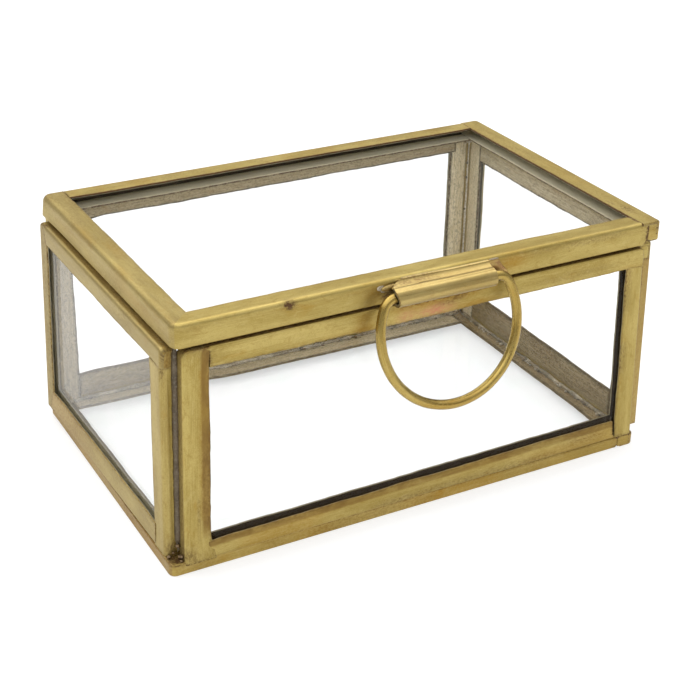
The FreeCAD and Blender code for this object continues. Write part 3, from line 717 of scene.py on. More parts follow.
def lid_front_tone(P, part, w, v):
    t = zeros(P)
    x, z = P[..., 0], P[..., 2]
    t[..., 1] += 3.2 * blob(P, (-27.4, -31.75, 46.6), (0.75, 1.0, 0.6))
    t[..., 1] += 0.35 * np.exp(-((z - 46.25) / 0.3) ** 2) * (part <= 2) * (0.5 + 0.5 * noise(x * 0.12, 0, 0, 5))
    t[..., 3] += 0.5 * blob(P, (-10.5, -31.75, 45.0), (3.0, 1.5, 2.2))
    # Painted shadow: dark brown under and beside the handle's left end, where the roll and ring shade the lid front.
    t[..., 1] += 1.1 * blob(P, (-8.7, -31.75, 44.2), (1.3, 1.5, 0.9)) + 0.5 * blob(P, (-8.2, -31.75, 45.6), (0.7, 1.5, 0.9))
    t[..., 3] += 0.75 * blob(P, (16.5, -31.75, 45.6), (3.2, 1.5, 1.6))
    t[..., 1] += 0.30 * ease((x - 16) / 8) * ease((44 - x) / 6) * np.exp(-((z - 46.4) / 0.6) ** 2)
    t[..., 1] += 0.5 * blob(P, (46.4, -31.75, 45.0), (0.6, 1, 2.4))
    t[..., 1] += 1.2 * np.exp(-((x - 45.02) / 0.17) ** 2) * (part == 0) + 0.9 * np.exp(-((x - 46.5) / 0.16) ** 2) * (part >= 1) * (part <= 2)
    # Painted shade, with a warm tint: the lid's lower flange is browned near the front, inside the gap over the rail.
    t[..., 1] += 0.6 * (part == 4) * ease((2.5 - v) / 2.0)
    t[..., 3] += 0.6 * (part == 4)
    return t


def lid_side_tone(seed, grey):
    def tone(P, part, w, v):
        t = zeros(P)
        t[..., 0] += grey
        t[..., 1] += 0.40 * np.clip(noise(P[..., 1] * 0.13, P[..., 0] * 0.3, P[..., 2] * 0.3, seed), 0, 1)
        t[..., 3] += 0.35 * np.clip(noise(P[..., 1] * 0.11, P[..., 0] * 0.4, P[..., 2] * 0.4, seed + 50) - 0.05, 0, 1)
        if seed == 12:
            t[..., 1] += 0.9 * blob(P, (47.0, -24.5, 47.3), (0.8, 1.8, 0.8)) + 0.6 * blob(P, (46.2, -20.5, 47.3), (0.5, 1.2, 0.8))
        return t
    return tone


def rail_top_tone(P, part, w, v):
    t = zeros(P)
    x, z = P[..., 0], P[..., 2]
    front = part <= 2
    t[..., 2] += 1.1 * blob(P, (0.6, -32.25, 39.9), (3.4, 2, 1.1)) * front
    # Painted shade, with a warm tint: the rail's top face under the lid is browned.
    t[..., 1] += 0.7 * (part == 2)
    t[..., 3] += 0.6 * (part == 2)
    t[..., 2] += 0.7 * blob(P, (-5.5, -32.25, 39.6), (1.6, 2, 1.6)) * front
    t[..., 1] += 0.6 * blob(P, (3.2, -32.25, 40.8), (2.2, 2, 0.5)) * front
    t[..., 3] += 0.8 * np.exp(-((x - 1.0) / 9.5) ** 4) * np.exp(-((z - 41.6) / 0.7) ** 2) * front
    t[..., 3] += 0.7 * blob(P, (9.5, -32.25, 39.3), (3.5, 2, 0.8)) * front + 0.6 * blob(P, (-13.5, -32.25, 40.0), (1.6, 2, 2.5)) * front
    t[..., 1] += 0.5 * blob(P, (5.5, -32.25, 41.4), (1.6, 2, 0.5)) * front
    t[..., 1] += 0.2 * ease((x - 19) / 6) * ease((44 - x) / 8) * np.exp(-((z - 40.4) / 0.8) ** 2) * front
    # Painted shadow: a brown band along the rail's top, beneath the handle's roll.
    t[..., 1] += 0.75 * np.exp(-((x - 1.5) / 9.2) ** 6) * ease((z - 41.2) / 0.7) * front
    t[..., 1] += 0.15 * ease((-38 - x) / 4) * front
    t[..., 3] += 0.25 * ease((noise(x * 0.08, 0, 0, 71) + 0.1)) * np.exp(-((z - 39.1) / 0.7) ** 2) * front
    return t


def rail_bottom_tone(P, part, w, v):
    t = zeros(P)
    x, z = P[..., 0], P[..., 2]
    front = part <= 2
    t[..., 1] += 0.45 * ease((x + 14) / 8) * ease((34 - x) / 10) * np.exp(-((z - 3.2) / 0.8) ** 2) * front
    t[..., 1] += 0.4 * blob(P, (36, -32.25, 4.5), (5, 2, 1.2)) * front
    t[..., 3] += 0.40 * front * ease(0.5 + noise(x * 0.07, z * 0.3, 0, 77))
    return t


def left_stile_tone(P, part, w, v):
    t = zeros(P)
    z = P[..., 2]
    start = 2.95 + 2.1 * ease((11.0 - z) / 5.0)
    t[..., 3] += 0.45 * ease((v - start) / 0.25) * (part <= 1) * ease((38.7 - z) / 0.4)
    t[..., 1] += 0.25 * ease((v - start) / 0.3) * (part <= 1) * ease((30 - z) / 10)
    t[..., 1] += 0.6 * np.exp(-((v - 2.55) / 0.12) ** 2) * (part <= 1) * ease((15.5 - z) / 1.5) * ease((z - 5) / 3)
    t[..., 1] += 0.8 * blob(P, (-46.5, -31.8, 4.2), (1.4, 1.2, 1.4))
    # Painted shade: the web facing the front-left corner groove is browned.
    t[..., 1] += 0.5 * (part >= 2) * (part <= 3)
    return t


def right_stile_tone(P, part, w, v):
    t = zeros(P)
    t[..., 1] += 0.35 * ease((v - 2.6) / 1.4) * (part <= 1) * ease(0.4 + noise(P[..., 2] * 0.15, 0, 0, 83))
    t[..., 1] += 0.55 * np.exp(-((v - 0.62) / 0.10) ** 2) * (part <= 1) * ease(0.6 + noise(P[..., 2] * 0.12, 0, 0, 87))
    t[..., 3] += 0.3 * blob(P, (43.5, -32.25, 37.5), (1.0, 2, 2.0))
    return t


def left_wall_tone(P, part, w, v):
    t = zeros(P)
    # Painted reflection: the left panel's outer faces, and a little of its webs, are made greyer.
    t[..., 0] += 0.50 * (part <= 1) + 0.20 * (part == 2)
    t[..., 1] += 0.22 * np.clip(0.2 + noise(P[..., 1] * 0.14, P[..., 2] * 0.14, 0, 61), 0, 1) * (part <= 1)
    return t


def left_rail_tone(P, part, w, v):
    t = left_wall_tone(P, part, w, v)
    t[..., 1] += 1.0 * np.exp(-((27.35 - 1.3 * v / 3.5 - P[..., 1]) / 0.30) ** 2) * (part <= 1)
    # Painted shade, with a warm tint: the rail's top face under the lid is browned.
    t[..., 1] += 0.35 * (part == 2)
    t[..., 3] += 0.35 * (part == 2)
    return t


def right_web_tone(P, part, w, v):
    t = zeros(P)
    web = (part >= 1) * (part <= 3)
    x = P[..., 0]
    t[..., 2] += 0.16 * web
    t[..., 0] += 0.20 * web
    t[..., 1] += (0.10 + 0.75 * np.exp(-((x - 47.9) / 0.35) ** 2)) * web
    return t


def left_bottom_tone(P, part, w, v):
    t = left_wall_tone(P, part, w, v)
    t[..., 0] -= 0.12 * (part <= 1)
    t[..., 1] += 0.22 * (part <= 1) * ease((P[..., 1] + 6) / 26)
    t[..., 2] += 0.20 * (part <= 1) * ease((P[..., 1] + 6) / 26)
    return t


def stained_inside(P, part, w, v):
    t = zeros(P)
    t[..., 1] += 0.55 * (part == 4) * ease(0.45 + 1.3 * noise(P[..., 0] * 0.2, P[..., 1] * 0.2, P[..., 2] * 0.5, 97))
    return t


def left_back_tone(P, part, w, v):
    t = zeros(P)
    # The grey on the left face is painted reflection; the brown is tone.
    t[..., 0] += 0.45 * (part <= 1)
    t[..., 1] += 0.36 * (part <= 1)
    return t


def left_front_web_tone(P, part, w, v):
    t = zeros(P)
    x, z = P[..., 0], P[..., 2]
    # The grey on the left face is painted reflection.
    t[..., 0] += 0.22 * (part <= 1)
    t[..., 3] += 0.45 * ease((x + 48.4) / 1.2) * (part >= 1) * (part <= 3)
    t[..., 1] += 0.35 * ease((x + 47.7) / 0.6) * (part >= 1) * (part <= 3)
    t[..., 1] += 0.9 * blob(P, (-49.8, -29.4, 38.2), (0.5, 1, 1.6))
    t[..., 1] += 0.9 * blob(P, (-48.2, -29.4, 4.0), (1.6, 1.2, 1.4))
    return t


def base_tone(P, part, w, v):
    t = zeros(P)
    x = P[..., 0]
    t[..., 3] += 0.25 + 0.30 * ease(0.45 + noise(x * 0.09, P[..., 1] * 0.09, 0, 91))
    t[..., 1] += 0.25 * ease(noise(x * 0.16, P[..., 1] * 0.16, 0, 95))
    t[..., 1] += 0.8 * blob(P, (-47.4, -30.6, 2.4), (1.3, 1.3, 0.8))
    t[..., 1] += 0.8 * blob(P, (44.4, -32.0, 0.3), (0.5, 1.0, 0.4))
    t[..., 1] += 0.35 * (part == 3) + 0.55 * (part == 4)
    return t


def base_back_tone(P, part, w, v):
    t = zeros(P)
    t[..., 3] += 0.35 * (part <= 2)
    t[..., 1] += 0.30 * (part == 4) * ease(0.2 + 1.4 * noise(P[..., 0] * 0.25, P[..., 1] * 0.4, 0, 93))
    return t


# ------------------------------------------------------------------ hand-made set of the walls
def lean_front(v):
    """Front and back frames: the stiles close in a little towards the top."""
    x, z = v[:, 0], v[:, 2]
    v = v.copy()
    v[:, 0] = x + np.abs(x) / 47.1 * np.where(x > 0, 0.54 - 0.0483 * (z - 4), -0.24 + 0.0178 * (z - 4))
    return v


def lean_left(v):
    x, y, z = v[:, 0], v[:, 1], v[:, 2]
    f, h = np.clip((y + 29.35) / 58.7, 0, 1), np.clip((z - 2.45) / 40, 0, 1)
    v = v.copy()
    v[:, 0] = x + (1 - f) * (0.20 + 0.50 * h) + f * 0.75 * h
    v[:, 1] = y + 1.5 * (1 - h) * ease((y - 18) / 10)
    return v


def lean_right(v):
    y, h = v[:, 1], np.clip((v[:, 2] - 2.45) / 40, 0, 1)
    v = v.copy()
    v[:, 0] = v[:, 0] - 0.12 * h
    v[:, 1] = y - 1.6 * (1 - h) * ease((-y - 24) / 5)
    return v


def foot_left(v):
    """Front left stile: its foot spreads over the end of the bottom rail."""
    x, z = v[:, 0], v[:, 2]
    w = v.copy()
    w[:, 0] = x + 0.95 * ease((7.5 - z) / 5.5) * np.clip((x + 47.1) / 4.8, 0, 1)
    w[:, 2] = z - 0.75 * ease((9.5 - z) / 7)
    return lean_front(w)


def sag_front(v):
    """Front bottom rail: lower at its left end."""
    w = v.copy()
    w[:, 2] = v[:, 2] - 0.78 + 0.58 * np.clip((v[:, 0] + 42) / 85, 0, 1)
    return lean_front(w)


def base_set(v):
    """Base frame: wider at the front left corner."""
    x, y = v[:, 0], v[:, 1]
    w = v.copy()
    w[:, 0] = x - 0.74 * np.clip((27 - y) / 57, 0, 1) * np.clip((-x - 40) / 8, 0, 1)
    w[:, 0] = w[:, 0] - 0.60 * ease((-y - 14) / 14) * np.clip((x - 40) / 8, 0, 1)
    w[:, 1] = y - 0.62 * np.clip((-y - 22) / 8, 0, 1)
    return w


def lid_left_set(v):
    k = ease((v[:, 1] - 20) / 10) * np.clip((47.3 - v[:, 2]) / 4.4, 0, 1)
    w = v.copy()
    w[:, 0] = v[:, 0] - 0.45 * k * np.clip((-v[:, 0] - 44) / 3, 0, 1)
    w[:, 2] = v[:, 2] + 0.35 * k
    return w


def lid_right_set(v):
    k = ease((-26.5 - v[:, 1]) / 4) * np.clip((46.4 - v[:, 2]) / 3.4, 0, 1)
    w = v.copy()
    w[:, 2] = v[:, 2] + 0.62 * k
    w[:, 1] = v[:, 1] + 0.7 * np.clip((-30.6 - v[:, 1]) / 1.1, 0, 1) * (v[:, 2] < 44.2) * (v[:, 0] < 46.65)
    return w


# ------------------------------------------------------------------ wall frames
def turned(a):
    return (-a[0], -a[1], a[2])


BUTT = ("butt", 0.0, 0.0, 0.0)
for name, flip in (("front", False), ("back", True)):
    k = turned if flip else (lambda a: a)
    left, right = ("right", "left") if flip else ("left", "right")
    s0 = 40 if flip else 0
    # The back frame's inner faces, seen across the box, get more painted light.
    painted_light = 1.0 if flip else 0.3
    lean = None if flip else lean_front
    q = Shell()
    channel(q, k((-47.1, -32.25, 2.45)), k(Y), k(X), Z, 40.1, 2.9, 3.8 if flip else 4.8, s0 + 1, BUTT, ("through", 1.6), inner_width=4.6 if flip else 4.8,
            hem=0.16, hem_width=1.85, hem_from=3.5, tab_b=3.7 if flip else 4.2, tone=None if flip else left_stile_tone, dirty=0.2, fold_a=0.5,
            painted_light=painted_light, deep=0.3 if flip else 1.0)
    q.piece(name + "_stile_" + left + "_brass", "body", "brass", BRASS, name + "_stile_" + left, bend=None if flip else foot_left)
    q = Shell()
    channel(q, k((-42.3, -32.25, 42.78 if flip else 42.55)), k(Y), NZ, k(X), 89.4, 2.9, 3.65, s0 + 2, ("butt", -0.95 if flip else 0.06, -1.6, -1.4), ("through", 0.8, 0.3),
            hem=0.05, hem_width=1.0, tab_b=3.4, fold_a=0.25, inner_width=3.0 if flip else 3.65, tone=None if flip else rail_top_tone,
            painted_light=0.35 if flip else 0.3)
    q.piece(name + "_rail_top_brass", "body", "brass", BRASS, name + "_rail_top", bend=lean)
    q = Shell()
    channel(q, k((47.1, -32.25, 2.45)), k(Y), k(NX), Z, 36.45, 2.9, 3.8 if flip else 4.8, s0 + 3, BUTT, ("butt", -0.5, 0.0, 0.0), fold_a=0.4,
            inner_width=4.6 if flip else 4.8, sink=0.16, hem=0.08, hem_width=0.8, scale=(1.0, 1.0) if flip else (0.79, 0.79),
            tone=None if flip else right_stile_tone, painted_light=0.35, deep=0.3 if flip else 1.0)
    q.piece(name + "_stile_" + right + "_brass", "body", "brass", BRASS, name + "_stile_" + right, bend=lean)
    q = Shell()
    if flip:
        channel(q, k((-42.3, -32.25, 2.45)), k(Y), Z, k(X), 84.6, 2.9, 4.4, s0 + 4, ("butt", -0.95, -0.9, -0.3), ("butt", -0.95, -0.9, -0.3),
                hem=0.14, hem_width=1.7, painted_light=0.15, inner_width=5.7, tone=stained_inside)
    else:
        channel(q, k((-42.3, -32.25, 2.45)), k(Y), Z, k(X), 84.6, 2.9, 4.4, s0 + 4, ("butt", -0.4, 0.0, 0.0), ("butt", -0.45, -1.2, -1.3, 0.3),
                hem=0.14, hem_width=1.5, inner_width=4.65, sink=0.12, scale=(0.81, 0.93), tone=rail_bottom_tone)
    q.piece(name + "_rail_bottom_brass", "body", "brass", BRASS, name + "_rail_bottom", bend=None if flip else sag_front)

for name, m in (("left", 1), ("right", -1)):
    s0 = 80 if m > 0 else 120
    SX = (m, 0, 0)
    lean = lean_left if m > 0 else lean_right
    q = Shell()
    channel(q, (-50 * m, -29.35, 42.4), SX, NZ, Y, 58.7, 2.9, 3.5, s0 + 1, ("through", 0.9, 0.6), ("butt", 2.0, 1.6, 0.0, 1.3),
            hem=0.05, hem_width=1.0, fold_a=0.7, tab_a=3.6, deep=0.45, tone=left_rail_tone if m > 0 else None, painted_light=0.5 if m > 0 else 0.42, inner_width=3.5 if m > 0 else 3.9)
    q.piece(name + "_rail_top_brass", "body", "brass", BRASS, name + "_rail_top", bend=lean)
    q = Shell()
    channel(q, (-50 * m, -29.35, 2.45), SX, Y, Z, 36.45, 2.9, 4.8, s0 + 2, BUTT if m > 0 else ("butt", 1.2, 1.2, 0.0), ("butt", 0.0, 0.0, 0.0),
            hem=0.05, hem_width=1.0, sink=0.05, deep=0.45, fold_a=1.1 if m > 0 else 0.5, tone=left_front_web_tone if m > 0 else right_web_tone)
    q.piece(name + "_stile_front_brass", "body", "brass", BRASS, name + "_stile_front", bend=lean)
    q = Shell()
    channel(q, (-50 * m, 29.35, 2.45), SX, NY, Z, 39.95, 2.9, 4.8, s0 + 3, BUTT, ("through", 1.2, 0.4), scale=(0.72, 0.72), inner_width=4.8 if m > 0 else 6.4,
            hem=0.05, hem_width=1.0, sink=0.05, tab_b=2.2, deep=0.45, tone=left_back_tone if m > 0 else None, painted_light=0.5 if m > 0 else 0.85)
    q.piece(name + "_stile_back_brass", "body", "brass", BRASS, name + "_stile_back", bend=lean)
    q = Shell()
    channel(q, (-50 * m, -24.55, 2.45), SX, Z, Y, 49.1, 2.9, 4.4, s0 + 4, ("butt", -0.5, -0.5, 0.0), ("butt", -2.8, -1.6, -1.5, 1.5),
            hem=0.05, hem_width=1.2, deep=0.45, tone=left_bottom_tone if m > 0 else stained_inside, inner_width=4.4 if m > 0 else 6.8,
            scale=(1.0, 1.0) if m > 0 else (0.92, 1.0), line_b=1.1 if m > 0 else 2.4)
    q.piece(name + "_rail_bottom_brass", "body", "brass", BRASS, name + "_rail_bottom", bend=lean)

# ------------------------------------------------------------------ base frame
q = Shell()
# The grey in its tint is painted reflection on the left side; the brown and pink are tone.
channel(q, (-49.2, -31.45, 0), Z, X, Y, 62.9, 2.4, 4.8, 161, ("mitre", 1.3, 1.25), ("through", 1.2), tab_b=4.5, fold_a=0.25, fold_b=0.3, tone=base_tone,
        tint=(0.45, 0.16, 0.10, 0), tin_from=2.4)
q.piece("base_strip_left_brass", "body", "brass", BRASS, "base_strip_left", bend=base_set)
q = Shell()
channel(q, (-49.2, -31.45, 0), Z, Y, X, 98.4, 2.4, 6.0, 162, ("mitre", 1.3, 0.8), ("butt", 4.85, 4.1, 4.85), fold_a=0.25, fold_b=0.3, tone=base_tone, tin_from=3.0)
q.piece("base_strip_front_brass", "body", "brass", BRASS, "base_strip_front", bend=base_set)
q = Shell()
channel(q, (49.2, -31.45, 0), Z, NX, Y, 62.9, 2.4, 3.4, 163, ("through", 1.0), ("through", 1.2), tab_a=4.0, tab_b=4.0, fold_a=0.25, fold_b=0.3,
        inner_width=4.75, tone=base_tone, tin_from=1.9, tin_start=2.4)
q.piece("base_strip_right_brass", "body", "brass", BRASS, "base_strip_right", bend=base_set)
q = Shell()
channel(q, (-44.4, 31.45, 0), Z, NY, X, 88.8, 2.4, 3.6, 164, ("butt", 0.05, -0.5, 0.0), ("butt", 0.05, -0.5, 0.0), inner_width=6.6, scale=(0.78, 1.0), tone=base_back_tone,
        painted_light=0.4)
q.piece("base_strip_back_brass", "body", "brass", BRASS, "base_strip_back")

# ------------------------------------------------------------------ lid frame
q = Shell()
# The grey given to the left lid strip is painted reflection.
channel(q, (-48, -31.75, 47.3), NZ, X, Y, 62.0, 4.4, 4.1, 11, ("mitre", 1.9, 1.0), ("through", 1.0, 0.5), fold_a=1.15, fold_b=0.3,
        tab_b=2.2, wave=0.06, deep=0.45, inner=0.5, painted_light=0.6, tone=lid_side_tone(11, 0.35))
q.piece("lid_strip_left_brass", "lid", "brass", BRASS, "lid_strip_left", bend=lid_left_set)
q = Shell()
channel(q, (-48, -31.75, 47.3), NZ, Y, X, 97.3, 4.4, 4.1, 13, ("mitre", 1.9, 1.0), ("butt", 4.14, 2.64, 4.15, 0.0, 2.66), fold_a=0.75, fold_b=0.25,
        wave=0.06, deep=0.45, inner=0.4, tone=lid_front_tone)
q.piece("lid_strip_front_brass", "lid", "brass", BRASS, "lid_strip_front")
q = Shell()
channel(q, (49.3, -31.75, 47.3), NZ, NX, Y, 62.0, 4.4, 4.1, 12, ("through", 0.6, 0.15), ("through", 0.9, 0.3), fold_a=0.5, fold_b=0.3,
        tab_a=2.60, tab_b=2.4, deep=0.45, inner=0.5, painted_light=1.0, tone=lid_side_tone(12, 0.05), line=3.0)
q.piece("lid_strip_right_brass", "lid", "brass", BRASS, "lid_strip_right", bend=lid_right_set)
q = Shell()
channel(q, (-43.9, 30.25, 47.3), NZ, NY, X, 89.1, 4.4, 3.8, 14, ("butt", 0.05, -1.8, 0.0), ("butt", 0.05, -1.8, 0.0), fold_b=0.3,
        deep=0.45, inner=0.5, painted_light=1.0, tone=lid_side_tone(14, 0.1), line=3.0)
q.piece("lid_strip_back_brass", "lid", "brass", BRASS, "lid_strip_back")


# ------------------------------------------------------------------ glass
def pane(name, body, lo, hi, seed, bend=None):
    lo, hi = np.array(lo, float), np.array(hi, float)
    n = [14, 14, 14]
    n[int(np.argmin(hi - lo))] = 1
    v, f = plate(lo, hi, 0.22, seed, n=n, lumps=0.0)
    q = Shell()
    q.add(v, f)
    q.piece(name + "_pane", body, "glass", GLASS, name, sharp=50, bend=bend)


pane("front_glass", "body", (-46.2, -31.55, 3.35), (46.2, -29.95, 41.5), 201, lean_front)
pane("back_glass", "body", (-46.2, 29.95, 3.35), (46.2, 31.55, 41.5), 202)
pane("left_glass", "body", (-49.3, -28.45, 3.35), (-47.7, 28.45, 41.5), 203, lean_left)
pane("right_glass", "body", (47.7, -28.45, 3.35), (49.3, 28.45, 41.5), 204, lean_right)
pane("base_glass", "body", (-48.3, -30.55, 0.55), (48.3, 30.55, 1.85), 205)
pane("lid_glass", "lid", (-47.1, -30.85, 43.7), (48.4, 29.35, 46.5), 206)

# ------------------------------------------------------------------ solder
rng = np.random.RandomState(7)


def groove_shade_on_bead(P):
    # Painted shade: the outer corner beads are darkened like the corner groove they sit in, most where the bead is
    # full, over the solder's own warm grey.
    t = zeros(P)
    t[..., 0] += 0.25 + 0.35 * ease((np.hypot(np.abs(P[..., 0]) - 47.1, np.abs(P[..., 1]) - 29.35) - 0.2) / 0.5)
    t[..., 1] += 0.25
    return t


def pale_bead(P):
    t = zeros(P)
    t[..., 1] += 0.3
    t[..., 2] += 1.0
    return t


def worn_bead(P):
    t = zeros(P)
    t[..., 1] += 0.35
    t[..., 2] += np.where(P[..., 0] > 46, 0.05, 0.25) + 0.40 * ease(0.2 + 1.3 * noise(P[..., 0] * 0.5, P[..., 1] * 0.5, 0, 317))
    return t


for name, sx, sy, seed in (("front_left", -1, -1, 301), ("front_right", 1, -1, 302), ("back_right", 1, 1, 303), ("back_left", -1, 1, 304)):
    q = Shell()
    bead(q, (47.1 * sx, 29.35 * sy, 4.6 if name == "front_left" else 2.6), (47.1 * sx, 29.35 * sy, 42.35 if name == "front_left" else 41.9), (sx, 0, 0), (0, sy, 0), 0.72, seed,
         lumpy=0.08, tone=groove_shade_on_bead, back=0.12)
    bead(q, (47.1 * sx, 29.35 * sy, 3.3), (47.1 * sx, 29.35 * sy, 42.0), (-sx, 0, 0), (0, -sy, 0), 0.36, seed + 20, lumpy=0.3, back=0.4, tone=pale_bead)
    for i in range(9):
        z = rng.uniform(4, 41)
        a, b = rng.uniform(0.1, 0.6), rng.uniform(0.1, 0.6)
        r = rng.uniform(0.10, 0.22)
        v, f = lump((47.1 * sx - sx * a, 29.35 * sy - sy * b * 0.4, z), (r, r, r * 1.4), seed + i)
        q.add(v, f)
    if name == "back_right":
        for i, (dx, dy, z, r) in enumerate(((-0.5, -0.5, 41.7, 0.62), (-1.2, -0.3, 41.5, 0.40), (-0.3, -1.0, 41.9, 0.35))):
            v, f = lump((47.1 + dx, 29.35 + dy, z), (r, r, r * 0.7), 360 + i, rough=0.3)
            tn = np.zeros((len(v), 4))
            tn[:, 2] = 1.0
            q.add(v, f, None, None, tn)
    if name == "front_left":
        for i, (dx, dy, z, r) in enumerate(((-0.3, -1.3, 2.9, 0.40), (-0.2, -1.9, 3.2, 0.30), (-1.9, -0.35, 2.8, 0.30), (-0.5, -2.3, 2.65, 0.26),
                                            (-1.1, -0.3, 3.3, 0.26), (-2.0, -0.3, 2.65, 0.24), (-0.4, -0.5, 4.6, 0.4))):
            v, f = lump((-47.1 + dx, -29.35 + dy, z), (r, r, r * 0.9), 330 + i, rough=0.35)
            tn = np.zeros((len(v), 4))
            tn[:, 1] = 0.7
            q.add(v, f, None, None, tn)
    q.piece("corner_seam_" + name + "_solder", "body", "solder", SOLDER, "corner_seam_" + name, sharp=60, bend=lean_front if sy < 0 else None)

for name, p0, p1, A, seed in (
    ("front", (-46.3, -29.35, 2.4), (46.3, -29.35, 2.4), (0, 1, 0), 311),
    ("back", (-46.3, 29.35, 2.4), (46.3, 29.35, 2.4), (0, -1, 0), 312),
    ("left", (-47.1, -29.2, 2.4), (-47.1, 29.2, 2.4), (1, 0, 0), 313),
    ("right", (47.1, -29.2, 2.4), (47.1, 29.2, 2.4), (-1, 0, 0), 314),
):
    q = Shell()
    bead(q, p0, p1, A, (0, 0, 1), 0.55, seed, lumpy=0.38, back=0.3, tone=worn_bead)
    p0, p1, A = np.array(p0), np.array(p1), np.array(A, float)
    for i in range(64):
        c = p0 + (p1 - p0) * rng.uniform(0.02, 0.98) + A * rng.uniform(0.2, 1.0) + np.array([0, 0, rng.uniform(0.0, 0.4)])
        r = rng.uniform(0.12, 0.32)
        v, f = lump(c, (r * 1.3, r * 1.3, r * 0.8), seed * 3 + i, rough=0.35)
        tn = np.zeros((len(v), 4))
        tn[:, 1], tn[:, 2] = rng.uniform(0, 0.8), 0.55 * (rng.uniform() > 0.6)
        q.add(v, f, None, None, tn)
    q.piece("base_seam_" + name + "_solder", "body", "solder", SOLDER, "base_seam_" + name, sharp=60)

# ------------------------------------------------------------------ handle
AX, AY, AZ = 1.8, -33.8, 44.7


def bracket_tone(P, rn):
    t = zeros(P)
    x, y, z = P[..., 0], P[..., 1], P[..., 2]
    t[..., 0] += 0.25
    t[..., 2] += 0.12
    # Painted shade: brown on the roll's underside, and on the left half of the sheet where it lies near the lid.
    t[..., 1] += 0.8 * ease((43.75 - z) / 0.5)
    t[..., 1] += 0.50 * ease((3.5 - x) / 6.0) * ease((y + 33.45) / 0.35)
    return t


q = Shell()
ang = np.radians(np.linspace(100, -172, 72))
top = np.array([(-32.02, 46.95), (-32.05, 46.84), (-32.12, 46.72), (-32.23, 46.60), (-32.38, 46.49), (-32.56, 46.39), (-32.77, 46.30), (-33.00, 46.22), (-33.25, 46.15)])
roll = np.stack([AY - 1.42 * np.cos(ang), AZ + 1.42 * np.sin(ang)], 1)
path = np.concatenate([top, roll])
deg = np.concatenate([np.full(len(top), 140.0), np.degrees(ang)])
face = -0.07 * np.exp(-((deg - 68) / 6) ** 2) + 0.04 * np.exp(-((deg - 50) / 8) ** 2) - 0.05 * np.exp(-((deg - 17) / 11) ** 2) + 0.02 * np.exp(-((deg + 10) / 10) ** 2)
cut_l = -0.10 - 0.50 * ease((deg + 40) / 105) + 0.25 * ease((deg - 68) / 40)
cut_l[:len(top)] = np.linspace(2.0, -0.3, len(top))
cut_r = -0.85 - 0.05 * ease(deg / 70)
rolled(q, path, 0.55, AX - 10.1, AX + 10.1, 401, rings=70, tone=bracket_tone, ends=(cut_l, cut_r), face=face, side=-1)
v, f = plate((-7.5, -32.25, 43.5), (14.3, -31.77, 46.95), 0.2, 402, n=(48, 2, 10))
far = ease((v[:, 0] - 9) / 5)
v[:, 0] += far * ((45.4 - v[:, 2]) * 0.62 + 0.25 * noise(v[:, 2] * 0.9, 0, 0, 407))
v[:, 1] += 0.22 * far * ease((v[:, 2] - 45.6) / 1.0)
v[:, 0] = np.minimum(v[:, 0], 15.5)
v[:, 1] += 0.46 * ease((1.5 - v[:, 0]) / 8.5) * ease((v[:, 2] - 43.9) / 1.0) + 0.42 * ease((-5.8 - v[:, 0]) / 1.6) * (1 - ease((v[:, 2] - 43.9) / 1.0))
tn = np.zeros((len(v), 4))
tn[:, 1] = 0.15 + 0.25 * far
tn[:, 2] = 0.15 + 0.40 * far
q.add(v, f, None, None, tn)
for i, (c, r) in enumerate((((-8.4, -31.95, 45.85), (1.9, 0.48, 0.70)), ((-7.9, -32.70, 45.9), (0.75, 0.5, 0.36)))):
    v, f = lump(c, r, 409 + i, rough=0.10, n=18)
    tn = np.zeros((len(v), 4))
    # The filling lumps are browned as painted shadow under the bracket's left end.
    tn[:, 0], tn[:, 1], tn[:, 2] = 0.2, 0.45 + 0.35 * i, 0.12
    q.add(v, f, None, None, tn)


def flush_left(v):
    """The bracket's upper edge lies flush with the lid towards its left end."""
    w = v.copy()
    w[:, 1] = v[:, 1] + 0.42 * ease((4.5 - v[:, 0]) / 9.0) * ease((v[:, 2] - 46.15) / 0.55) * (v[:, 1] < -31.95)
    return w


q.piece("handle_bracket_brass", "lid", "brass", ROLL, "handle_bracket", bend=flush_left)

q = Shell()
for i, (c, r, dark, warm) in enumerate((
        ((-10.2, -31.75, 46.0), (0.8, 0.12, 0.5), 0.0, 0.5), ((-9.7, -31.75, 45.5), (0.6, 0.10, 0.4), 0.0, 0.6),
        ((12.4, -31.80, 46.96), (1.0, 0.24, 0.12), 0.0, 0.9), ((14.9, -31.76, 44.2), (0.3, 0.08, 0.4), 0.0, 1.0))):
    v, f = lump(c, r, 350 + i, rough=0.14, n=16)
    tn = np.zeros((len(v), 4))
    tn[:, 0] = dark
    tn[:, 1] = warm
    tn[:, 2] = 0.6 if c[0] < 0 else 0.3
    q.add(v, f, None, None, tn)
q.piece("handle_solder_blobs", "lid", "solder", SOLDER, "handle_solder", sharp=60)

R, D, B = 13.74, 7.1, 2.55
half = math.sqrt((R - B) ** 2 - (D - B) ** 2)
phi = math.atan2(D - B, half)
arc = [np.stack([np.linspace(-half, half, 40, endpoint=False), np.zeros(40)], 1)]
a = np.linspace(math.pi / 2, phi, 14, endpoint=False)
arc.append(np.stack([half + B * np.cos(a), -B + B * np.sin(a)], 1))
a = np.linspace(phi, -math.pi - phi, 150, endpoint=False)
arc.append(np.stack([R * np.cos(a), -D + R * np.sin(a)], 1))
a = np.linspace(math.pi - phi, math.pi / 2, 14, endpoint=False)
arc.append(np.stack([-half + B * np.cos(a), -B + B * np.sin(a)], 1))
arc = np.concatenate(arc)
slope = math.radians(13.408)
ring = np.stack([1.7 + arc[:, 0], AY + arc[:, 1] * math.sin(slope), AZ + arc[:, 1] * math.cos(slope)], 1)


def ring_tone(P):
    t = zeros(P)
    t[..., 3] += 0.25 + 0.25 * ease(noise(P[..., 0] * 0.2, 0, P[..., 2] * 0.2, 431))
    return t


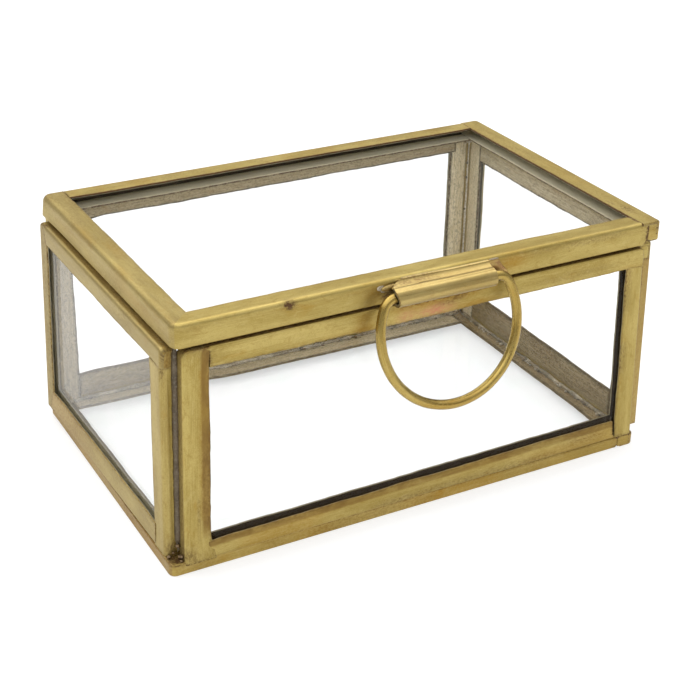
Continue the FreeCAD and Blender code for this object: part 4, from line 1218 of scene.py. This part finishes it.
q = Shell()
wire(q, ring, 0.88, 431, tone=ring_tone, sides=24)
q.piece("ring_pull_wire", "ring", "brass", WIRE, "ring_pull")

# ------------------------------------------------------------------ hinge
HY, HZ = 34.0, 42.65


def plain(P, rn):
    t = zeros(P)
    t[..., 3] += 0.2
    t[..., 0] += 0.2
    return t


a = np.radians(np.linspace(90, -225, 60))
roll = np.stack([HY + 1.2 * np.cos(a), HZ + 1.2 * np.sin(a)], 1)
lead = np.array([(30.5, 46.6), (30.5, 46.0), (30.5, 45.3), (30.5, 44.7), (30.52, 44.4), (30.62, 44.12), (30.84, 43.93), (31.15, 43.87), (31.8, 43.86), (32.6, 43.85), (33.4, 43.85)])
q = Shell()
rolled(q, np.concatenate([lead, roll]), 0.5, -18, 18, 501, rings=90, tone=plain)
q.piece("hinge_knuckle_lid_brass", "lid", "brass", BRASS, "hinge_knuckle_lid")
a = np.radians(np.linspace(-90, 225, 60))
roll = np.stack([HY + 1.2 * np.cos(a), HZ + 1.2 * np.sin(a)], 1)
lead = np.array([(32.5, 39.2), (32.5, 39.6), (32.5, 40.2), (32.5, 40.75), (32.55, 41.1), (32.72, 41.33), (33.0, 41.43), (33.5, 41.45)])
for side, x0 in (("left", -26.3), ("right", 18.3)):
    q = Shell()
    rolled(q, np.concatenate([lead, roll]), 0.5, x0, x0 + 8, 510 if x0 < 0 else 520, rings=26, tone=plain, side=-1)
    q.piece("hinge_knuckle_" + side + "_brass", "body", "brass", BRASS, "hinge_knuckle_" + side)
q = Shell()
px = np.concatenate([np.linspace(-27, -26.4, 6, endpoint=False), np.linspace(-26.4, 26.4, 90, endpoint=False), np.linspace(26.4, 27, 7)])
wire(q, np.stack([px, np.full_like(px, HY), np.full_like(px, HZ)], 1), 0.8, 531, closed=False, caps=0.5)
q.piece("hinge_pin_wire", "body", "brass", WIRE, "hinge_pin")

# ------------------------------------------------------------------ floor, light, camera
bm = bmesh.new()
bmesh.ops.create_grid(bm, x_segments=24, y_segments=24, size=4.0)
me = bpy.data.meshes.new("floor")
bm.to_mesh(me)
bm.free()
me.materials.append(floor_finish())
floor = bpy.data.objects.new("floor", me)
floor.location = (0, 0, -0.00002)
bpy.context.scene.collection.objects.link(floor)

world = bpy.data.worlds.new("studio")
bpy.context.scene.world = world
world.use_nodes = True
nt = world.node_tree
bg = nt.nodes["Background"]
tc = nt.nodes.new("ShaderNodeTexCoord")
sep = nt.nodes.new("ShaderNodeSeparateXYZ")
nt.links.new(tc.outputs["Generated"], sep.inputs[0])


def ranged(socket, lo, hi, to_lo, to_hi):
    n = nt.nodes.new("ShaderNodeMapRange")
    n.interpolation_type = "SMOOTHSTEP"
    nt.links.new(socket, n.inputs["Value"])
    n.inputs["From Min"].default_value, n.inputs["From Max"].default_value = lo, hi
    n.inputs["To Min"].default_value, n.inputs["To Max"].default_value = to_lo, to_hi
    return n.outputs[0]


blend = nt.nodes.new("ShaderNodeMix")
blend.data_type = "FLOAT"
nt.links.new(ranged(sep.outputs["Z"], 0.42, 0.74, 0.0, 1.0), blend.inputs[0])
shade = nt.nodes.new("ShaderNodeMath")
shade.operation = "MULTIPLY"
nt.links.new(ranged(sep.outputs["Y"], -0.4, 0.4, 0.0, 1.0), shade.inputs[0])
nt.links.new(ranged(sep.outputs["X"], -0.35, 0.15, 0.0, 1.0), shade.inputs[1])
nt.links.new(ranged(shade.outputs[0], 0.0, 1.0, 0.50, 0.22), blend.inputs[2])
nt.links.new(ranged(sep.outputs["Y"], -0.3, 0.6, 1.05, 2.95), blend.inputs[3])
nt.links.new(blend.outputs[0], bg.inputs["Strength"])
bg.inputs["Color"].default_value = (1.0, 1.0, 1.0, 1.0)


def lamp(name, where, aim, size, radiance, colour=(1.0, 1.0, 1.0)):
    la = bpy.data.lights.new(name, "AREA")
    la.shape = "RECTANGLE"
    la.size, la.size_y = size
    la.energy = radiance * math.pi * size[0] * size[1]
    la.color = colour
    ob = bpy.data.objects.new(name, la)
    ob.location = where
    d = Vector(aim) - Vector(where)
    ob.rotation_euler = d.to_track_quat("-Z", "Y").to_euler()
    bpy.context.scene.collection.objects.link(ob)


lamp("soft_box", (-0.25, -0.45, 0.85), (0, 0, 0.02), (0.9, 0.7), 0.8)

az, el, roll_a = math.radians(-29.504), math.radians(27.564), math.radians(1.285)
back = Vector((math.sin(az) * math.cos(el), -math.cos(az) * math.cos(el), math.sin(el)))
right = Vector((math.cos(az), math.sin(az), 0))
up = back.cross(right)
place = Vector((0, SHIFT, 25)) + back * 296.609 + right * 1.796 + up * -6.935
r2 = right * math.cos(roll_a) + up * math.sin(roll_a)
u2 = up * math.cos(roll_a) - right * math.sin(roll_a)
cam = bpy.data.cameras.new("camera")
cam.sensor_fit = "HORIZONTAL"
cam.sensor_width = 36.0
cam.lens = 1538.972 / 700 * 36
cam.clip_start, cam.clip_end = 0.01, 20
eye = bpy.data.objects.new("camera", cam)
eye.matrix_world = Matrix((
    (r2.x, u2.x, back.x, place.x * MM),
    (r2.y, u2.y, back.y, place.y * MM),
    (r2.z, u2.z, back.z, place.z * MM),
    (0, 0, 0, 1)))
bpy.context.scene.collection.objects.link(eye)
bpy.context.scene.camera = eye
bpy.context.scene.view_settings.view_transform = "Standard"
